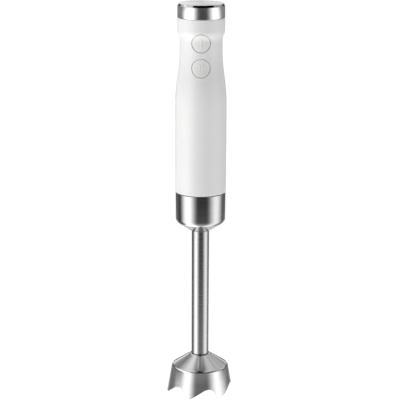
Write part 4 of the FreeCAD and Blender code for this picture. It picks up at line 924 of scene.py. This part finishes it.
def low_panels(sky):
    """What a pale table sends up, from below, ahead and behind, and a bright patch low at the left."""
    underneath = sky.times(sky.below(sky.height, -56.0, 12.0), 0.8)
    ahead = sky.times(sky.below(sky.turned_away, 60.0, 20.0), sky.below(sky.height, -19.0, 7.0), 0.5)
    stronger_aside = sky.plus(sky.times(sky.above(sky.off_middle, 0.06, 0.06), 0.6), 0.5)
    behind = sky.times(sky.above(sky.turned_away, 140.0, 20.0),
                       sky.below(sky.height, -16.0, 6.0), stronger_aside)
    far_left = sky.times(sky.between(sky.to_left, 78.0, 8.0, 135.0, 10.0),
                         sky.below(sky.height, -50.0, 8.0), 3.0)
    return [underneath, ahead, behind, far_left]


def front_panels(sky):
    """A faint strip in front just above the horizon, and a fainter fill over it."""
    front = sky.below(sky.turned_away, 44.0, 12.0)
    strip = sky.times(front, sky.between(sky.height, 1.5, 3.0, 9.0, 6.0), 0.56)
    fill = sky.times(front, sky.between(sky.height, 9.0, 4.0, 30.0, 6.0), 0.16)
    return [strip, fill]


def make_studio_light():
    """A white studio: a tall soft box on each side, near darkness in front, softer light above and behind."""
    world = bpy.data.worlds.new("studio")
    bpy.context.scene.world = world
    world.use_nodes = True
    world.node_tree.nodes.clear()
    sky = Sky(world.node_tree)
    ambient = sky.times(sky.below(sky.height, 30.0, 10.0), 0.045)
    light = sky.plus(ambient, *side_boxes(sky), *upper_panels(sky), *rear_panels(sky), *low_panels(sky),
                     *front_panels(sky))
    lit = sky.node("ShaderNodeBackground")
    sky.link(light, lit.inputs["Strength"])
    backdrop = sky.node("ShaderNodeBackground")
    backdrop.inputs["Color"].default_value = (1, 1, 1, 1)
    backdrop.inputs["Strength"].default_value = BACKDROP_GLOW
    mix = sky.node("ShaderNodeMixShader")
    sky.link(sky.node("ShaderNodeLightPath").outputs["Is Camera Ray"], mix.inputs[0])
    sky.link(lit.outputs[0], mix.inputs[1])
    sky.link(backdrop.outputs[0], mix.inputs[2])
    sky.link(mix.outputs[0], sky.node("ShaderNodeOutputWorld").inputs[0])
    bpy.context.scene.view_settings.view_transform = "Standard"


# ---- the model --------------------------------------------------------------------------------------------

make_camera()
make_floor()
make_studio_light()
materials = make_materials()

slot_of = {part["node"]: part["material_slot"] for part in frame["record"]["subparts"]}
for node_name, cad_piece in frame["nodes"].items():
    finish_with(cad_piece, materials[slot_of[node_name]])

finish_with(make_handle(), materials["white_shell"])
for button_body, button_marks in BUTTON_MARKS.items():
    finish_with(make_button(button_body, button_marks), materials["button_white"])
dial_ring, dial_disc = make_dial()
finish_with(dial_ring, materials["dial_metal"], materials["dial_bevel"])
polish_bevel(dial_ring)
finish_with(dial_disc, materials["dial_face"])
finish_with(make_collar(), materials["collar_steel"])
finish_with(make_tube(), materials["tube_steel"])
finish_with(make_guard(), materials["guard_steel"])
